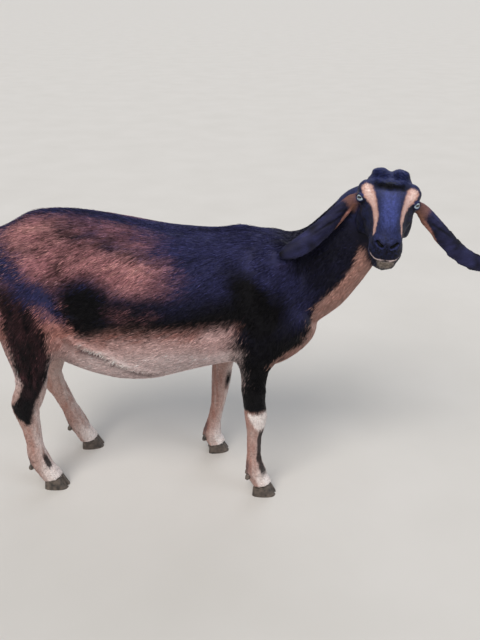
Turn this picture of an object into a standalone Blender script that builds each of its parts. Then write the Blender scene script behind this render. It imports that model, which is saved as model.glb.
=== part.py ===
"""A Nubian type goat, life size, standing square on its four feet with its head turned to its right.

Metres, +Z up.  The goat faces +X and its right side is towards -Y.  The body is modelled whole and
parted by thin cuts where a person would name one piece after another.
"""

import math

import bmesh
import bpy
from mathutils import Matrix, Vector

# ---- driving sizes, in metres -------------------------------------------------------------------
GAP = 0.0003            # clear space left by every cut
GRAIN = 0.0045          # grain of the single body before it is thinned to facets
BODY_FACETS = 3150      # triangles kept on trunk, neck and legs before they are cut
HEAD_FACETS = 1250      # triangles kept on the head
RING = 22               # points round a limb or the neck
TRUNK_RING = 36         # points round the trunk
STEPS = 5               # rings laid between two given sections

# Trunk, rump to breast: x, height of back, height of belly, half breadth, level of greatest breadth
TRUNK = [
    (-0.655, 0.665, 0.560, 0.040, 0.610),
    (-0.630, 0.700, 0.480, 0.078, 0.600),
    (-0.580, 0.745, 0.420, 0.105, 0.590),
    (-0.520, 0.774, 0.385, 0.125, 0.590),
    (-0.440, 0.779, 0.345, 0.142, 0.560),
    (-0.370, 0.771, 0.325, 0.160, 0.535),
    (-0.280, 0.753, 0.316, 0.182, 0.520),
    (-0.190, 0.735, 0.321, 0.184, 0.520),
    (-0.110, 0.727, 0.335, 0.170, 0.520),
    (-0.040, 0.727, 0.345, 0.150, 0.530),
    (0.020, 0.735, 0.345, 0.132, 0.530),
    (0.080, 0.725, 0.342, 0.115, 0.520),
    (0.140, 0.702, 0.368, 0.096, 0.510),
    (0.176, 0.660, 0.405, 0.076, 0.500),
    (0.205, 0.590, 0.462, 0.045, 0.520),
]

# Neck, withers to skull: middle point, half depth above and below it, half breadth
NECK = [
    (0.060, 0.000, 0.560, 0.150, 0.160, 0.105),
    (0.130, 0.000, 0.585, 0.135, 0.142, 0.098),
    (0.188, 0.000, 0.608, 0.122, 0.122, 0.085),
    (0.234, 0.000, 0.645, 0.112, 0.106, 0.073),
    (0.276, 0.000, 0.692, 0.102, 0.094, 0.065),
    (0.310, -0.004, 0.742, 0.092, 0.086, 0.060),
    (0.340, -0.010, 0.788, 0.078, 0.074, 0.056),
    (0.356, -0.014, 0.818, 0.055, 0.050, 0.048),
]

# Head: where it is and how it is turned, then sections from nape to nose along its own length
HEAD_AT = (0.3513, -0.1039, 0.8242)     # middle of the line between the eyes
HEAD_TURN = (-8.9, 8.0, -4.4)           # degrees: past square to the right, nodded down, tipped
HEAD = [
    (-0.118, 0.016, -0.050, 0.030, -0.010),
    (-0.104, 0.030, -0.080, 0.050, -0.015),
    (-0.080, 0.040, -0.100, 0.058, -0.012),
    (-0.045, 0.042, -0.112, 0.060, -0.012),
    (-0.010, 0.041, -0.114, 0.059, -0.010),
    (0.020, 0.040, -0.110, 0.0555, -0.012),
    (0.050, 0.037, -0.103, 0.048, -0.022),
    (0.080, 0.031, -0.097, 0.041, -0.032),
    (0.110, 0.021, -0.095, 0.0365, -0.042),
    (0.135, 0.008, -0.098, 0.0365, -0.048),
    (0.153, -0.004, -0.100, 0.0365, -0.052),
    (0.168, -0.017, -0.090, 0.032, -0.052),
    (0.179, -0.033, -0.070, 0.020, -0.050),
]
EYE_OUT, EYE_SIZE = 0.0575, 0.0148      # the eyeball's middle from the mid line, and its radius

# Legs: middle point, half depth fore and aft, half breadth
FORE_RIGHT = [
    (0.085, -0.080, 0.520, 0.070, 0.040),
    (0.060, -0.096, 0.445, 0.064, 0.046),
    (0.040, -0.104, 0.398, 0.049, 0.042),
    (0.037, -0.107, 0.360, 0.041, 0.036),
    (0.036, -0.109, 0.318, 0.034, 0.031),
    (0.039, -0.110, 0.275, 0.031, 0.029),
    (0.042, -0.111, 0.243, 0.032, 0.031),
    (0.042, -0.111, 0.213, 0.028, 0.028),
    (0.039, -0.111, 0.178, 0.0225, 0.0215),
    (0.038, -0.112, 0.120, 0.0215, 0.0205),
    (0.040, -0.113, 0.088, 0.026, 0.025),
    (0.044, -0.114, 0.068, 0.029, 0.029),
    (0.052, -0.115, 0.046, 0.0255, 0.027),
    (0.061, -0.116, 0.028, 0.0275, 0.0285),
    (0.068, -0.117, 0.008, 0.0270, 0.0280),
]
FORE_LEFT = [
    (0.075, 0.080, 0.520, 0.070, 0.040),
    (0.035, 0.094, 0.445, 0.064, 0.046),
    (-0.010, 0.098, 0.395, 0.052, 0.042),
    (-0.032, 0.098, 0.355, 0.042, 0.036),
    (-0.046, 0.096, 0.315, 0.035, 0.031),
    (-0.052, 0.094, 0.275, 0.031, 0.029),
    (-0.055, 0.092, 0.240, 0.030, 0.030),
    (-0.059, 0.091, 0.208, 0.0265, 0.027),
    (-0.065, 0.090, 0.165, 0.0225, 0.0215),
    (-0.075, 0.090, 0.115, 0.0215, 0.0205),
    (-0.081, 0.090, 0.084, 0.025, 0.025),
    (-0.084, 0.090, 0.062, 0.0285, 0.029),
    (-0.079, 0.090, 0.044, 0.0255, 0.027),
    (-0.071, 0.090, 0.028, 0.0275, 0.0285),
    (-0.064, 0.090, 0.008, 0.0270, 0.0280),
]
HIND_RIGHT = [
    (-0.530, -0.070, 0.630, 0.105, 0.060),
    (-0.533, -0.084, 0.560, 0.108, 0.064),
    (-0.536, -0.092, 0.500, 0.098, 0.060),
    (-0.543, -0.097, 0.446, 0.077, 0.051),
    (-0.547, -0.098, 0.390, 0.056, 0.041),
    (-0.550, -0.097, 0.342, 0.045, 0.034),
    (-0.558, -0.096, 0.304, 0.042, 0.030),
    (-0.573, -0.095, 0.266, 0.041, 0.029),
    (-0.573, -0.094, 0.232, 0.034, 0.027),
    (-0.567, -0.093, 0.190, 0.027, 0.024),
    (-0.564, -0.092, 0.140, 0.0245, 0.0225),
    (-0.562, -0.091, 0.108, 0.0285, 0.027),
    (-0.555, -0.090, 0.084, 0.030, 0.029),
    (-0.543, -0.089, 0.060, 0.0265, 0.027),
    (-0.530, -0.088, 0.036, 0.028, 0.0285),
    (-0.516, -0.087, 0.008, 0.0270, 0.0280),
]
HIND_LEFT = [
    (-0.530, 0.070, 0.630, 0.105, 0.060),
    (-0.530, 0.084, 0.560, 0.108, 0.064),
    (-0.527, 0.092, 0.500, 0.098, 0.060),
    (-0.530, 0.099, 0.446, 0.077, 0.051),
    (-0.534, 0.103, 0.390, 0.057, 0.041),
    (-0.540, 0.105, 0.342, 0.047, 0.034),
    (-0.550, 0.107, 0.304, 0.043, 0.030),
    (-0.560, 0.108, 0.266, 0.041, 0.029),
    (-0.552, 0.109, 0.232, 0.035, 0.027),
    (-0.532, 0.110, 0.190, 0.028, 0.024),
    (-0.512, 0.111, 0.140, 0.026, 0.0225),
    (-0.500, 0.112, 0.108, 0.029, 0.027),
    (-0.490, 0.112, 0.084, 0.030, 0.029),
    (-0.478, 0.112, 0.060, 0.0265, 0.027),
    (-0.465, 0.112, 0.036, 0.028, 0.0285),
    (-0.451, 0.112, 0.008, 0.0270, 0.0280),
]

# Masses over the bones, given for the right side and mirrored: middle, half sizes, lean in degrees
MASSES = [
    ((0.070, -0.076, 0.570), (0.085, 0.050, 0.160), 14),     # shoulder blade
    ((0.028, -0.098, 0.455), (0.070, 0.044, 0.080), -12),    # back of the upper arm
    ((0.122, -0.066, 0.475), (0.050, 0.046, 0.075), 30),     # point of the shoulder
    ((-0.540, -0.082, 0.580), (0.098, 0.062, 0.140), 8),     # thigh
    ((-0.462, -0.104, 0.470), (0.045, 0.036, 0.075), 30),    # stifle
    ((-0.435, -0.092, 0.700), (0.070, 0.040, 0.050), 0),     # hook bone
    ((-0.622, -0.046, 0.662), (0.034, 0.030, 0.038), 0),     # pin bone
]
BREAST = ((0.152, 0.0, 0.445), (0.052, 0.060, 0.072), 35)
WITHERS = ((0.015, 0.0, 0.712), (0.085, 0.030, 0.026), 0)

# Masses of the head, in its own lengths, right side given and mirrored
HEAD_MASSES = [
    ((-0.012, -0.050, 0.012), (0.029, 0.0200, 0.026)),       # rim of the eye
    ((-0.026, -0.049, -0.058), (0.046, 0.019, 0.042)),       # cheek
    ((-0.052, -0.059, -0.020), (0.024, 0.020, 0.023)),       # root of the ear
    ((0.148, -0.021, -0.030), (0.024, 0.014, 0.018)),        # wing of the nostril
    ((0.140, -0.018, -0.066), (0.030, 0.018, 0.014)),        # upper lip
    ((-0.076, -0.022, 0.040), (0.030, 0.020, 0.014)),        # hair of the poll, parted in two
]
CHIN = ((0.132, 0.0, -0.096), (0.026, 0.022, 0.014))

# Ears: middle line from root to tip, with breadth; they hang, the outer face turned out
EAR_RIGHT = [
    (0.287, -0.041, 0.817, 0.028),
    (0.272, -0.046, 0.809, 0.034),
    (0.246, -0.058, 0.788, 0.043),
    (0.215, -0.072, 0.760, 0.047),
    (0.173, -0.090, 0.728, 0.052),
    (0.142, -0.101, 0.709, 0.050),
    (0.112, -0.108, 0.697, 0.038),
    (0.096, -0.110, 0.692, 0.013),
]
EAR_LEFT = [
    (0.424, -0.062, 0.805, 0.026),
    (0.439, -0.065, 0.795, 0.033),
    (0.459, -0.066, 0.773, 0.042),
    (0.487, -0.066, 0.742, 0.045),
    (0.520, -0.063, 0.706, 0.048),
    (0.553, -0.058, 0.676, 0.048),
    (0.592, -0.053, 0.654, 0.045),
    (0.624, -0.049, 0.645, 0.036),
    (0.642, -0.047, 0.641, 0.013),
]
EAR_THICK = 0.0064
EAR_CURL = 0.20         # depth of the hollow over the breadth
EAR_FACE = (0.0, -0.93, 0.36)
EAR_POINTS = 6          # flats across each face of an ear

# Tail: middle line with half breadth and half thickness
TAIL = [
    (-0.600, 0.0, 0.715, 0.030, 0.024),
    (-0.648, 0.0, 0.702, 0.026, 0.018),
    (-0.682, 0.0, 0.680, 0.025, 0.014),
    (-0.706, 0.0, 0.640, 0.024, 0.012),
    (-0.718, 0.0, 0.595, 0.018, 0.010),
    (-0.722, 0.0, 0.570, 0.008, 0.006),
]

# Feet: middle of the heels on the floor, heading in degrees, length of the sole
FEET = {
    "fore_right": ((0.036, -0.117), -8.0, 0.064),
    "fore_left": ((-0.096, 0.090), 6.0, 0.062),
    "hind_right": ((-0.546, -0.086), -6.0, 0.064),
    "hind_left": ((-0.482, 0.112), 5.0, 0.064),
}
CLAW_WIDE = 0.0275
CLEFT = 0.0035
HEEL_HIGH, CORONET_RISE = 0.023, 0.23
TOE_BACK = 0.021        # how far the front of the claw leans back between sole and coronet
DEWCLAW = (0.0085, 0.0070, 0.0125)


# ---- collections and materials ------------------------------------------------------------------
for old in list(bpy.data.objects):
    bpy.data.objects.remove(old, do_unlink=True)

model = bpy.data.collections.new("goat")
cutters = bpy.data.collections.new("cutters")
bpy.context.scene.collection.children.link(model)
bpy.context.scene.collection.children.link(cutters)
cutters.hide_render = True


def material(name, colour, rough):
    made = bpy.data.materials.new(name)
    made.use_nodes = True
    shader = made.node_tree.nodes["Principled BSDF"]
    shader.inputs["Base Color"].default_value = (*colour, 1.0)
    shader.inputs["Roughness"].default_value = rough
    return made


def link(mesh, name, where):
    made = bpy.data.objects.new(name, mesh)
    where.objects.link(made)
    if where is cutters:
        made.hide_render = True
        made.display_type = "WIRE"
    return made


def apply_all(obj):
    bpy.context.view_layer.update()
    graph = bpy.context.evaluated_depsgraph_get()
    mesh = bpy.data.meshes.new_from_object(obj.evaluated_get(graph))
    obj.modifiers.clear()
    obj.data = mesh


# ---- lofts and masses ---------------------------------------------------------------------------
def eased(rows, steps):
    """Rows of numbers with smooth ones laid between them."""
    out = []
    for i in range(len(rows) - 1):
        a, b = rows[max(i - 1, 0)], rows[i]
        c, d = rows[i + 1], rows[min(i + 2, len(rows) - 1)]
        for k in range(steps):
            t = k / steps
            out.append([
                0.5 * (2 * q + (r - p) * t + (2 * p - 5 * q + 4 * r - s) * t * t
                       + (3 * q - p - 3 * r + s) * t ** 3)
                for p, q, r, s in zip(a, b, c, d)
            ])
    out.append(list(rows[-1]))
    return out


def tube(rings, name):
    """A closed skin over rings of equal count, with a flat end at each."""
    bm = bmesh.new()
    made = [[bm.verts.new(p) for p in ring] for ring in rings]
    n = len(made[0])
    for low, high in zip(made, made[1:]):
        for i in range(n):
            j = (i + 1) % n
            bm.faces.new((low[i], low[j], high[j], high[i]))
    bm.faces.new(list(reversed(made[0])))
    bm.faces.new(made[-1])
    bmesh.ops.recalc_face_normals(bm, faces=bm.faces)
    mesh = bpy.data.meshes.new(name)
    bm.to_mesh(mesh)
    bm.free()
    return link(mesh, name, cutters)


def oval(middle, side, up, wide, above, below, count, full=2.3):
    """Points of an egg shaped section; full over 2 squares it a little."""
    ring = []
    for i in range(count):
        a = 2 * math.pi * i / count
        c, s = math.cos(a), math.sin(a)
        c = math.copysign(abs(c) ** (2 / full), c)
        s = math.copysign(abs(s) ** (2 / full), s)
        ring.append(middle + side * (c * wide) + up * (s * (above if s > 0 else below)))
    return ring


def upright_sections(rows, count, name, full=2.25):
    """Sections across X, each with a top, a bottom, a half breadth and a level of greatest breadth."""
    rings = [
        oval(Vector((x, 0, level)), Vector((0, 1, 0)), Vector((0, 0, 1)), wide,
             top - level, level - low, count, full)
        for x, top, low, wide, level in eased(rows, STEPS)
    ]
    return tube(rings, name)


def swept_sections(rows, hint, count, name):
    """Sections square to their middle line: x, y, z, then half sizes towards hint, away and aside."""
    rows = eased(rows, STEPS)
    mid = [Vector(r[:3]) for r in rows]
    rings = []
    for i, row in enumerate(rows):
        run = (mid[min(i + 1, len(mid) - 1)] - mid[max(i - 1, 0)]).normalized()
        side = run.cross(hint).normalized()
        rings.append(oval(mid[i], side, side.cross(run), row[5], row[3], row[4], count, 2.15))
    return tube(rings, name)


def mass(middle, half, lean=0.0, name="mass"):
    """An egg of flesh, leaning forwards at its top by so many degrees."""
    bm = bmesh.new()
    bmesh.ops.create_icosphere(bm, subdivisions=3, radius=1.0)
    place = (Matrix.Translation(middle) @ Matrix.Rotation(math.radians(lean), 4, "Y")
             @ Matrix.Diagonal((*half, 1.0)))
    bmesh.ops.transform(bm, matrix=place, verts=bm.verts)
    mesh = bpy.data.meshes.new(name)
    bm.to_mesh(mesh)
    bm.free()
    return link(mesh, name, cutters)


def mirrored(middle, half, lean=0.0):
    x, y, z = middle
    return [mass((x, y, z), half, lean), mass((x, -y, z), half, lean)]


# ---- the one body -------------------------------------------------------------------------------
pieces = [upright_sections(TRUNK, TRUNK_RING, "trunk_form")]
pieces.append(swept_sections(NECK, Vector((0, 0, 1)), RING, "neck_form"))
for rows in (FORE_RIGHT, FORE_LEFT, HIND_RIGHT, HIND_LEFT):
    limb = [(x, y, z, deep, deep, wide) for x, y, z, deep, wide in rows]
    pieces.append(swept_sections(limb, Vector((1, 0, 0)), RING, "leg_form"))
tail_rows = [(x, y, z, thick, thick, wide) for x, y, z, wide, thick in TAIL]
pieces.append(swept_sections(tail_rows, Vector((0, 0, 1)), RING, "tail_form"))
for middle, half, lean in MASSES:
    pieces += mirrored(middle, half, lean)
pieces += [mass(*BREAST), mass(*WITHERS)]

yaw, nod, tip = (math.radians(v) for v in HEAD_TURN)
ahead = Vector((math.sin(yaw) * math.cos(nod), -math.cos(yaw) * math.cos(nod), -math.sin(nod)))
level = Vector((0, 0, 1)).cross(ahead).normalized()
rise = ahead.cross(level)
left = level * math.cos(tip) + rise * math.sin(tip)
crown = ahead.cross(left)
head_place = Matrix.Translation(HEAD_AT) @ Matrix((ahead, left, crown)).transposed().to_4x4()

head_pieces = [upright_sections(HEAD, RING + 6, "head_form", 2.2), mass(*CHIN)]
for middle, half in HEAD_MASSES:
    head_pieces += mirrored(middle, half)
for piece in head_pieces:
    piece.data.transform(head_place)
pieces += head_pieces

whole = bmesh.new()
for piece in pieces:
    whole.from_mesh(piece.data)
    bpy.data.objects.remove(piece, do_unlink=True)
mesh = bpy.data.meshes.new("body")
whole.to_mesh(mesh)
whole.free()
body = link(mesh, "body", cutters)
join = body.modifiers.new("join", "REMESH")
join.mode = "VOXEL"
join.voxel_size = GRAIN
apply_all(body)


def head_share(point):
    """1 on the face, falling to 0 down the neck."""
    d = (point - Vector(HEAD_AT)).dot(ahead)
    return max(0.0, min(1.0, (d + 0.13) / 0.05))


ease = body.vertex_groups.new(name="ease")
for v in body.data.vertices:
    face = head_share(v.co)
    foot = max(0.0, min(1.0, (0.36 - v.co.z) / 0.08))
    neck = max(0.0, min(1.0, (v.co.x - 0.16) / 0.10))
    ease.add([v.index], max(0.04, 1.0 - 0.55 * neck - 0.42 * face - 0.96 * foot), "REPLACE")
smooth = body.modifiers.new("smooth", "SMOOTH")
smooth.factor = 0.8
smooth.iterations = 120
smooth.vertex_group = "ease"
apply_all(body)


# ---- cuts ---------------------------------------------------------------------------------------
def block(middle, size, turn=None, name="cut"):
    bm = bmesh.new()
    bmesh.ops.create_cube(bm, size=1.0)
    place = Matrix.Translation(middle) @ (turn or Matrix.Identity(4)) @ Matrix.Diagonal((*size, 1.0))
    bmesh.ops.transform(bm, matrix=place, verts=bm.verts)
    mesh = bpy.data.meshes.new(name)
    bm.to_mesh(mesh)
    bm.free()
    return link(mesh, name, cutters)


def facing(direction):
    """A turn that takes +Z to the direction."""
    return Vector(direction).to_track_quat("Z", "Y").to_matrix().to_4x4()


def slice_at(middle, direction, wide, deep):
    return block(middle, (wide, deep, GAP), facing(direction))


def cut(obj, tools):
    gathered = bmesh.new()
    for tool in tools:
        gathered.from_mesh(tool.data)
        bpy.data.objects.remove(tool, do_unlink=True)
    mesh = bpy.data.meshes.new("cut")
    gathered.to_mesh(mesh)
    gathered.free()
    tool = link(mesh, "cut", cutters)
    step = obj.modifiers.new("cut", "BOOLEAN")
    step.operation = "DIFFERENCE"
    step.solver = "EXACT"
    step.use_self = False
    step.object = tool
    apply_all(obj)
    bpy.data.objects.remove(tool, do_unlink=True)


def ball(middle, radius, rings=7, turns=12, name="ball"):
    bm = bmesh.new()
    bmesh.ops.create_uvsphere(bm, u_segments=turns, v_segments=rings, radius=radius)
    bmesh.ops.rotate(bm, verts=bm.verts, matrix=Matrix.Rotation(math.pi / 2, 3, "X"))
    mesh = bpy.data.meshes.new(name)
    bm.to_mesh(mesh)
    bm.free()
    mesh.transform(Matrix.Translation(middle))
    return link(mesh, name, cutters)


NAPE_AT, NAPE_FACING = Vector((0.340, -0.008, 0.772)), Vector((0.20, -0.50, 0.84)).normalized()


def thinned(source, count, side, name):
    """The part of the body on one side of the nape, thinned to so many triangles."""
    piece = link(source.data.copy(), name, cutters)
    rest = block(NAPE_AT - side * NAPE_FACING * (1.0 - GAP / 2), (3.0, 3.0, 2.0), facing(NAPE_FACING))
    cut(piece, [rest])
    facets = piece.modifiers.new("facets", "DECIMATE")
    facets.ratio = count / sum(len(p.vertices) - 2 for p in piece.data.polygons)
    apply_all(piece)
    for v in piece.data.vertices:
        off = (v.co - NAPE_AT).dot(NAPE_FACING) - side * GAP / 2
        if abs(off) < 2 * GAP:
            v.co -= NAPE_FACING * off
    return piece


def ear(rows, name):
    """A hanging leaf, hollow within, as thick as cartilage and coat together, and stouter at its root."""
    rows = eased(rows, 2)
    mid = [Vector(r[:3]) for r in rows]
    rings = []
    for i, row in enumerate(rows):
        run = (mid[min(i + 1, len(mid) - 1)] - mid[max(i - 1, 0)]).normalized()
        across = run.cross(Vector(EAR_FACE)).normalized()
        out = across.cross(run)
        wide = row[3] / 2
        root = max(0.0, 1.0 - i / 5)
        thick = EAR_THICK * (0.55 + 0.45 * min(1.0, wide / 0.018)) * (1 + 0.9 * root) / 2
        steps = [-1 + 2 * k / EAR_POINTS for k in range(EAR_POINTS + 1)]
        ring = []
        for side, row_steps in ((1, steps), (-1, steps[-2:0:-1])):
            for s in row_steps:
                bow = EAR_CURL * row[3] * (1 - s * s) * (1 - 0.7 * root)
                edge = math.sqrt(max(0.0, 1 - s ** 4))
                ring.append(mid[i] + across * (s * wide) + out * (bow + side * thick * edge))
        rings.append(ring)
    obj = tube(rings, name)
    bm = bmesh.new()
    bm.from_mesh(obj.data)
    bmesh.ops.triangulate(bm, faces=bm.faces, quad_method="FIXED")
    bm.to_mesh(obj.data)
    bm.free()
    return obj


def foot_place(foot):
    (x, y), heading, _ = FEET[foot]
    return Matrix.Translation((x, y, 0)) @ Matrix.Rotation(math.radians(heading), 4, "Z")


lean = math.atan(CORONET_RISE)
coronet_turn = Matrix.Rotation(-lean, 4, "Y")

head = thinned(body, HEAD_FACETS, 1, "head_flesh")
trunk = thinned(body, BODY_FACETS, -1, "trunk_flesh")
bpy.data.objects.remove(body, do_unlink=True)

# whole wedges under each coronet, where the horn of the claws takes over
wedges = []
for foot in FEET:
    wedge = block((0.030, 0, -0.060 + GAP), (0.130, 0.090, 0.120))
    wedge.data.transform(foot_place(foot) @ Matrix.Translation((0, 0, HEEL_HIGH)) @ coronet_turn)
    wedges.append(wedge)
cut(trunk, wedges)

# dewclaws stand in pockets behind the fetlocks
dewclaws = {}
for foot, rows in (("fore_right", FORE_RIGHT), ("fore_left", FORE_LEFT),
                   ("hind_right", HIND_RIGHT), ("hind_left", HIND_LEFT)):
    x, y, z, deep, wide = rows[-4]
    for side, sign in (("inner", 1), ("outer", -1)):
        out = sign if foot.endswith("right") else -sign
        place = (Matrix.Translation((x - 0.74 * deep, y + out * 0.46 * wide, z - 0.012))
                 @ Matrix.Rotation(math.radians(28), 4, "Y"))
        dewclaws[f"dewclaw_{foot}_{side}"] = place


def dewclaw(grow, name):
    bm = bmesh.new()
    bmesh.ops.create_uvsphere(bm, u_segments=6, v_segments=5, radius=1.0)
    half = [v + grow for v in DEWCLAW]
    bmesh.ops.scale(bm, vec=half, verts=bm.verts)
    mesh = bpy.data.meshes.new(name)
    bm.to_mesh(mesh)
    bm.free()
    return link(mesh, name, cutters)


pockets = []
for name, place in dewclaws.items():
    pocket = dewclaw(GAP, "pocket")
    pocket.data.transform(place)
    pockets.append(pocket)
eye_middles = {side: head_place @ Vector((0.008, sign * EYE_OUT, 0.001))
               for side, sign in (("right", -1), ("left", 1))}
cut(trunk, pockets)

# each ear starts a hair's breadth off the side of the head
ears = []
for name, rows in (("ear_right", EAR_RIGHT), ("ear_left", EAR_LEFT)):
    leaf = ear(rows, name)
    near = link(head.data.copy(), "near", cutters)
    swell = near.modifiers.new("swell", "DISPLACE")
    swell.strength = 1.5 * GAP
    swell.mid_level = 0.0
    apply_all(near)
    cut(leaf, [near])
    ears.append(leaf)
cut(head, [ball(middle, EYE_SIZE + GAP) for middle in eye_middles.values()])

slices = [
    slice_at((0.170, 0.0, 0.590), (0.86, 0.0, 0.52), 0.42, 0.40),            # chest from neck
    slice_at((-0.118, 0.0, 0.530), (1.0, 0.0, 0.0), 0.50, 0.60),             # barrel from chest
    slice_at((-0.400, 0.0, 0.560), (1.0, 0.0, 0.14), 0.50, 0.60),            # rump from barrel
    slice_at((-0.668, 0.0, 0.690), (0.80, 0.0, 0.50), 0.070, 0.080),         # tail from rump
]
LEG_CUTS = {                # level of the cut at elbow or stifle, knee or hock, and fetlock
    "fore_right": (FORE_RIGHT, 0.330, 0.228, 0.090),
    "fore_left": (FORE_LEFT, 0.328, 0.224, 0.086),
    "hind_right": (HIND_RIGHT, 0.352, 0.238, 0.110),
    "hind_left": (HIND_LEFT, 0.346, 0.238, 0.110),
}


def along(rows, height):
    rows = eased(rows, STEPS)
    return min(rows, key=lambda r: abs(r[2] - height))


anchors = {
    "head": tuple(head_place @ Vector((0.03, 0, -0.03))),
    "neck": (0.255, 0.0, 0.660),
    "chest": (0.050, 0.0, 0.550),
    "barrel": (-0.240, 0.0, 0.540),
    "rump": (-0.520, 0.0, 0.600),
    "tail": (-0.705, 0.0, 0.640),
}
for leg, (rows, top, joint, fetlock) in LEG_CUTS.items():
    for height, wide in ((top, 0.120), (joint, 0.105), (fetlock, 0.085)):
        x, y = along(rows, height)[:2]
        slices.append(slice_at((x, y, height), (0, 0, 1), wide, wide))
    upper, lower = ("forearm", "cannon") if leg.startswith("fore") else ("gaskin", "cannon")
    kind, side = leg.split("_")
    for name, height in ((f"{kind}leg_{side}_{upper}", (top + joint) / 2),
                         (f"{kind}leg_{side}_{lower}", (joint + fetlock) / 2),
                         (f"{kind}leg_{side}_pastern", 0.5 * fetlock + 0.015)):
        x, y = along(rows, height)[:2]
        anchors[name] = (x, y, height)
for one in slices:
    cut(trunk, [one])

# ---- the flesh, piece by piece ------------------------------------------------------------------
black_coat = material("coat_black", (0.012, 0.012, 0.018), 0.55)
brown_coat = material("coat_brown", (0.18, 0.075, 0.045), 0.60)
tan_coat = material("coat_tan", (0.52, 0.34, 0.24), 0.65)
horn = material("hoof_horn", (0.045, 0.038, 0.034), 0.45)
eye_glass = material("eye", (0.55, 0.60, 0.63), 0.12)


def finish(obj, name, coat):
    obj.name = name
    obj.data.name = name
    obj.data.materials.clear()
    obj.data.materials.append(coat)
    for used in list(obj.users_collection):
        used.objects.unlink(obj)
    model.objects.link(obj)
    obj.hide_render = False
    obj.display_type = "TEXTURED"


def islands(bm):
    left_over, groups = set(bm.verts), []
    while left_over:
        seed = left_over.pop()
        group, edge = [seed], [seed]
        while edge:
            for e in edge.pop().link_edges:
                for v in e.verts:
                    if v in left_over:
                        left_over.remove(v)
                        group.append(v)
                        edge.append(v)
        groups.append(group)
    return groups


source = bmesh.new()
source.from_mesh(head.data)
source.from_mesh(trunk.data)
bmesh.ops.remove_doubles(source, verts=source.verts, dist=0.00001)
parts = []
for group in islands(source):
    picked = bmesh.new()
    fresh = {v: picked.verts.new(v.co) for v in group}
    for face in {f for v in group for f in v.link_faces}:
        picked.faces.new([fresh[v] for v in face.verts])
    volume = abs(picked.calc_volume())
    middle = sum((v.co for v in picked.verts), Vector()) / len(picked.verts)
    if volume > 1e-7:
        parts.append((volume, middle, picked))
source.free()

coats = {"head": black_coat, "neck": black_coat, "chest": black_coat, "tail": black_coat,
         "barrel": brown_coat, "rump": brown_coat}
taken = set()
for volume, middle, picked in sorted(parts, key=lambda p: -p[0]):
    name = min((n for n in anchors if n not in taken),
               key=lambda n: (Vector(anchors[n]) - middle).length)
    taken.add(name)
    bmesh.ops.triangulate(picked, faces=picked.faces)
    bmesh.ops.dissolve_degenerate(picked, edges=picked.edges, dist=0.00005)
    bmesh.ops.recalc_face_normals(picked, faces=picked.faces)
    mesh = bpy.data.meshes.new(name)
    picked.to_mesh(mesh)
    picked.free()
    finish(link(mesh, name, cutters), name, coats.get(name, tan_coat))
bpy.data.objects.remove(head, do_unlink=True)
bpy.data.objects.remove(trunk, do_unlink=True)

# ---- ears ---------------------------------------------------------------------------------------
for leaf in ears:
    bm = bmesh.new()
    bm.from_mesh(leaf.data)
    bmesh.ops.remove_doubles(bm, verts=bm.verts, dist=0.00001)
    largest = max(islands(bm), key=len)
    bmesh.ops.delete(bm, geom=[v for v in bm.verts if v not in set(largest)], context="VERTS")
    bmesh.ops.triangulate(bm, faces=bm.faces)
    bmesh.ops.dissolve_degenerate(bm, edges=bm.edges, dist=0.00005)
    bm.to_mesh(leaf.data)
    bm.free()
    finish(leaf, leaf.name, black_coat)

# ---- eyes ---------------------------------------------------------------------------------------
for side, middle in eye_middles.items():
    finish(ball(middle, EYE_SIZE, name=f"eye_{side}"), f"eye_{side}", eye_glass)


# ---- claws and dewclaws -------------------------------------------------------------------------
def claw(foot, sign, name):
    """One claw: a flat sole, a wall that leans back at the toe, and a sloping top at the coronet."""
    length = FEET[foot][2]
    outline = []
    for k in range(9):
        t = k / 8
        x = length * (1 - math.cos(math.pi * t)) / 2
        swell = math.sin(math.pi * min(1.0, 0.16 + 0.84 * t)) ** 0.55 if t < 1 else 0.0
        outline.append((x, CLEFT / 2 + (CLAW_WIDE - CLEFT / 2) * max(swell, 0.16)))
    inner = [(length * 0.90, CLEFT / 2), (length * 0.5, CLEFT / 2), (length * 0.05, CLEFT / 2)]
    sole = outline + inner
    bm = bmesh.new()
    low, high = [], []
    for x, y in sole:
        f = x / length
        top_x = 0.002 + x * (length - TOE_BACK) / length
        top_y = max(CLEFT / 2, y * 0.93)
        low.append(bm.verts.new((x, sign * y, 0.0)))
        high.append(bm.verts.new((top_x, sign * top_y, HEEL_HIGH + CORONET_RISE * top_x)))
    bm.faces.new(low)
    bm.faces.new(list(reversed(high)))
    n = len(sole)
    for i in range(n):
        j = (i + 1) % n
        bm.faces.new((low[i], high[i], high[j], low[j]))
    bmesh.ops.triangulate(bm, faces=bm.faces)
    bmesh.ops.recalc_face_normals(bm, faces=bm.faces)
    mesh = bpy.data.meshes.new(name)
    bm.to_mesh(mesh)
    bm.free()
    mesh.transform(foot_place(foot))
    return link(mesh, name, cutters)


for foot in FEET:
    for side, sign in (("inner", 1), ("outer", -1)):
        name = f"hoof_{foot}_{side}"
        out = sign if foot.endswith("right") else -sign
        finish(claw(foot, out, name), name, horn)
for name, place in dewclaws.items():
    made = dewclaw(0.0, name)
    made.data.transform(place)
    finish(made, name, horn)

# ---- one place for all: the middle of the box, on the floor -------------------------------------
low = Vector((min(v.co[i] for o in model.objects for v in o.data.vertices) for i in range(3)))
high = Vector((max(v.co[i] for o in model.objects for v in o.data.vertices) for i in range(3)))
shift = Matrix.Translation((-(low.x + high.x) / 2, -(low.y + high.y) / 2, -low.z))
for obj in model.objects:
    obj.data.transform(shift)
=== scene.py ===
import itertools
import math

import bmesh
import bpy
import numpy as np
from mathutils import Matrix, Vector
from mathutils.bvhtree import BVHTree


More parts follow.
